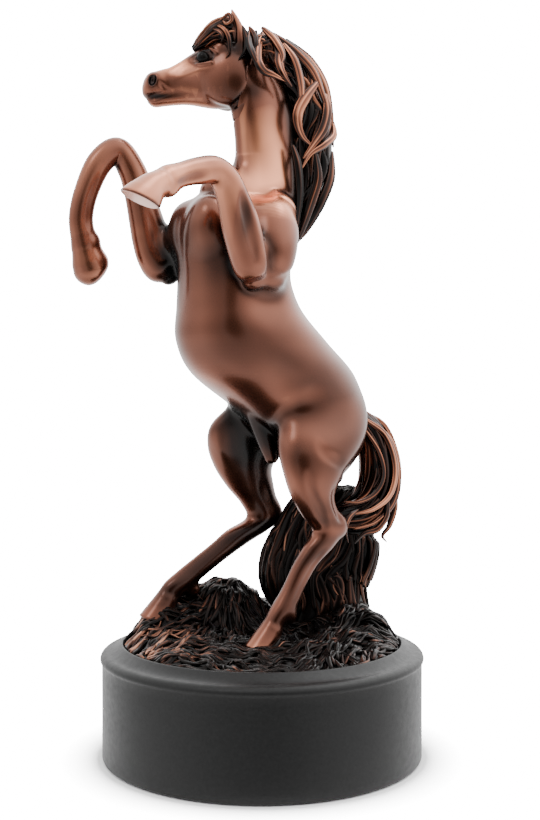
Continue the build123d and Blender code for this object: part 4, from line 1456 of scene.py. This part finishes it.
def build_ground():
    grass = Strands()
    rings, around = 70, 180
    angle = 2 * math.pi * np.arange(around) / around
    outline = [(0, ground_height(np.zeros(1), np.zeros(1))[0])]
    for i in range(1, rings + 1):
        r = GROUND_RADIUS * i / rings
        outline.append((r, ground_height(r * np.cos(angle), r * np.sin(angle))))
    outline += [(GROUND_RADIUS, GROUND_UNDERSIDE), (0, GROUND_UNDERSIDE)]
    grass.add_mass(*turned(outline, around), 0.1)
    steps = 7
    for _ in range(BLADES):
        r = (GROUND_RADIUS - 1) * math.sqrt(rng.uniform(0, 1))
        a = rng.uniform(0, 2 * math.pi)
        x0, y0 = r * math.cos(a), r * math.sin(a)
        # Blades lie the way the ground slopes up to the horse's right, with tufts that turn away from it.
        heading = 0.35 + 0.9 * math.sin(x0 * 0.07 + 0.8) + 0.8 * math.cos(y0 * 0.09 - 0.4) + rng.normal(0,
                                                                                                        0.35)
        length = rng.uniform(5, 13)
        bend = rng.uniform(-0.7, 0.7)
        t = np.linspace(0, 1, steps)
        x = x0 + length * (t - 0.5) * math.cos(heading) - bend * 2 * np.sin(math.pi * t) * math.sin(heading)
        y = y0 + length * (t - 0.5) * math.sin(heading) + bend * 2 * np.sin(math.pi * t) * math.cos(heading)
        inside = np.minimum(1, (GROUND_RADIUS - 0.8) / np.maximum(np.hypot(x, y), 1e-6))
        x, y = x * inside, y * inside
        lift = rng.uniform(0.1, 0.7) + rng.uniform(0, 1.5) * t**2 * min(1, (GROUND_RADIUS - r) / 10)
        z = ground_height(x, y) + lift
        width = rng.uniform(0.7, 1.35) * tapered(steps, 0.4, 0.1, 0.3, 0.5)
        # Painted light: blades at the viewer's left are painted brighter copper, as if lit from that side.
        left = max(0.0, min(1.0, (0.5 * y0 - 0.866 * x0 - 14) / 24))
        tone = rng.uniform(0.05, 0.40) + left * rng.uniform(0, 0.55)
        out = np.broadcast_to((0.0, 0.0, 1.0), (steps, 3))
        grass.add(np.stack([x, y, z], 1), out, width, width * 0.9, 7, 2, 0.1, tone, rng.uniform(0, 6.3), 0)
    grass.make("ground", DARK_BRONZE, "ground_casting", "ground")


# ---------------------------------------------------------------- plinth
def build_plinth():
    """The turned base, finely divided."""
    rim = 63.2
    outline = [(0, 1.5), (59.05, 1.5), (59.05, 0.4), (61.6, 0.4), (62.2, 0.62), (62.5, 1.3), (62.5, 4),
               (62.5, 12), (62.5, 20),
               (62.5, 28), (62.5, 34), (62.5, 37.2), (62.7, 37.9), (63.1, 38.3), (rim, 38.8)]
    for i in range(1, 9):
        a = math.pi / 2 * i / 8
        outline.append((rim - 3.0 * (1 - math.cos(a)), 38.8 + 2.5 * math.sin(a)))
    for i in range(1, 9):
        t = i / 8
        outline.append((rim - 3.0 - 4.9 * t, 41.3 + 2.9 * t**1.6))
    outline += [(55.0, 44.45), (54.6, 44.5), (54.3, 44.2), (54.2, 43.6), (54.2, 42.0), (0, 42.0)]
    points, faces = turned(outline, 256)
    add_mesh("plinth", points, faces[:, ::-1], black_base(), "plinth", "plinth")


# ---------------------------------------------------------------- CAD pieces that stay, and the studio
def dress_cad():
    """Materials for the parts that are kept as CAD made them: the felt and all the hidden fixings."""
    metal = steel()
    felt = black_felt()
    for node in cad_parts:
        thing = bpy.data.objects.get(node)
        if thing is None or thing.type != "MESH":
            continue
        thing.data.materials.clear()
        thing.data.materials.append(felt if node == "felt_pad" else metal)


def add_floor(half=4.0, near=0.064, far=0.082):
    """A pale floor that melts into the white background between near and far from the middle."""
    mesh = bpy.data.meshes.new("floor")
    corners = [(-half, -half, 0), (half, -half, 0), (half, half, 0), (-half, half, 0)]
    mesh.from_pydata(corners, [], [(0, 1, 2, 3)])
    floor = bpy.data.objects.new("floor", mesh)
    bpy.context.scene.collection.objects.link(floor)
    n = Nodes("floor")
    n.shader.inputs["Base Color"].default_value = (0.95, 0.95, 0.95, 1)
    n.shader.inputs["Roughness"].default_value = 0.9
    mesh.materials.append(n.material)
    place = n.add("ShaderNodeTexCoord").outputs["Object"]
    length = n.add("ShaderNodeVectorMath", operation="LENGTH")
    n.join(place, length.inputs[0])
    mix = n.add("ShaderNodeMixShader")
    n.join(n.spread(length.outputs["Value"], near, far), mix.inputs[0])
    n.join(n.shader.outputs[0], mix.inputs[1])
    n.join(n.add("ShaderNodeBsdfTransparent").outputs[0], mix.inputs[2])
    n.join(mix.outputs[0], n.tree.nodes["Material Output"].inputs["Surface"])


RIGHT = np.array((math.cos(TURN), -math.sin(TURN), 0))
AWAY = np.array((math.sin(TURN), math.cos(TURN), 0))
UP = np.array((0, 0, 1.0))


def seen_from(across, away, up):
    """A place in metres counted across, away from and above the base's middle, as the viewer sees it."""
    return Vector(RIGHT * across + AWAY * away + UP * up)


def add_light(name, place, aim, size, energy):
    data = bpy.data.lights.new(name, "AREA")
    data.shape = "RECTANGLE"
    data.size, data.size_y = size
    data.energy = energy
    lamp = bpy.data.objects.new(name, data)
    bpy.context.scene.collection.objects.link(lamp)
    lamp.visible_glossy = False
    lamp.location = place
    lamp.rotation_euler = (aim - place).to_track_quat("-Z", "Y").to_euler()


def greys(*stops):
    return [(position, (value, value, value)) for position, value in stops]


# The room's brightness from straight below to straight above.
ROOM_LEVELS = greys((0.0, 0.9), (0.12, 1.6), (0.3, 1.8), (0.42, 1.4), (0.52, 1.15), (0.6, 1.25),
                    (0.7, 1.6), (0.85, 1.5),
                    (1.0, 1.2))
# Round places in the room: (azimuth from the viewer, elevation, inner angle, outer angle, brightness factor).
ROOM_PLACES = [
    (9.0, 3.0, 12.0, 19.0, 0.05),
    (0.0, 0.0, 22.0, 58.0, 0.5),
    (110.0, 50.0, 15.0, 70.0, 1.7),
    (-32.0, 50.0, 4.0, 12.0, 4.0),
    (100.0, 62.0, 4.0, 14.0, 2.5),
    (180.0, 15.0, 20.0, 90.0, 1.5),
]


def studio():
    scene = bpy.context.scene
    camera = bpy.data.objects.new("camera", bpy.data.cameras.new("camera"))
    scene.collection.objects.link(camera)
    camera.location = seen_from(0.0031, -0.465, 0.143)
    pitch = math.radians(-1.0)
    ahead = Vector(AWAY * math.cos(pitch) + UP * math.sin(pitch))
    camera.rotation_euler = ahead.to_track_quat("-Z", "Y").to_euler()
    camera.data.lens = 52.0
    camera.data.sensor_width = 36.0
    camera.data.clip_start = 0.01
    scene.camera = camera

    add_floor()
    add_light("key", seen_from(-0.5, -0.6, 0.75), seen_from(0, 0, 0.2), (1.1, 1.1), 5)
    add_light("front_right", seen_from(0.45, -0.7, 0.6), seen_from(0, 0, 0.22), (0.9, 0.9), 2)
    add_light("overhead", seen_from(0.05, 0.0, 0.95), seen_from(0, 0, 0.15), (0.7, 0.7), 4)

    world = bpy.data.worlds.new("studio")
    scene.world = world
    n = Nodes("studio", world)
    background = n.tree.nodes["Background"]
    output = n.tree.nodes["World Output"]
    direction = n.add("ShaderNodeTexCoord").outputs["Generated"]
    split = n.add("ShaderNodeSeparateXYZ")
    n.join(direction, split.inputs[0])
    # Reflections see a room that varies with height, with dark and bright round places in it.
    # The camera sees plain white.
    height = n.spread(split.outputs["Z"], -1, 1)
    level = n.ramp(height, *ROOM_LEVELS)
    shade = None
    for azimuth, elevation, inner, outer, factor in ROOM_PLACES:
        turn, rise = math.radians(azimuth), math.radians(elevation)
        toward = (RIGHT * math.sin(turn) - AWAY * math.cos(turn)) * math.cos(rise) + UP * math.sin(rise)
        node = n.add("ShaderNodeVectorMath", operation="DOT_PRODUCT")
        n.join(direction, node.inputs[0])
        node.inputs[1].default_value = tuple(toward)
        left = n.spread(node.outputs["Value"], math.cos(math.radians(outer)),
                        math.cos(math.radians(inner)), 1, factor)
        shade = left if shade is None else n.math("MULTIPLY", shade, left)
    mixer = n.add("ShaderNodeVectorMath", operation="SCALE")
    n.join(level, mixer.inputs[0])
    n.join(shade, mixer.inputs["Scale"])
    n.join(mixer.outputs[0], background.inputs["Color"])
    background.inputs["Strength"].default_value = 1.0
    plain = n.add("ShaderNodeBackground")
    plain.inputs["Color"].default_value = (1, 1, 1, 1)
    plain.inputs["Strength"].default_value = 20.0
    mix = n.add("ShaderNodeMixShader")
    n.join(n.add("ShaderNodeLightPath").outputs["Is Camera Ray"], mix.inputs[0])
    n.join(background.outputs[0], mix.inputs[1])
    n.join(plain.outputs[0], mix.inputs[2])
    n.join(mix.outputs[0], output.inputs["Surface"])


build_body()
build_eyes()
build_mane()
build_forelock()
build_tail()
build_stump()
build_ground()
build_plinth()
dress_cad()
studio()
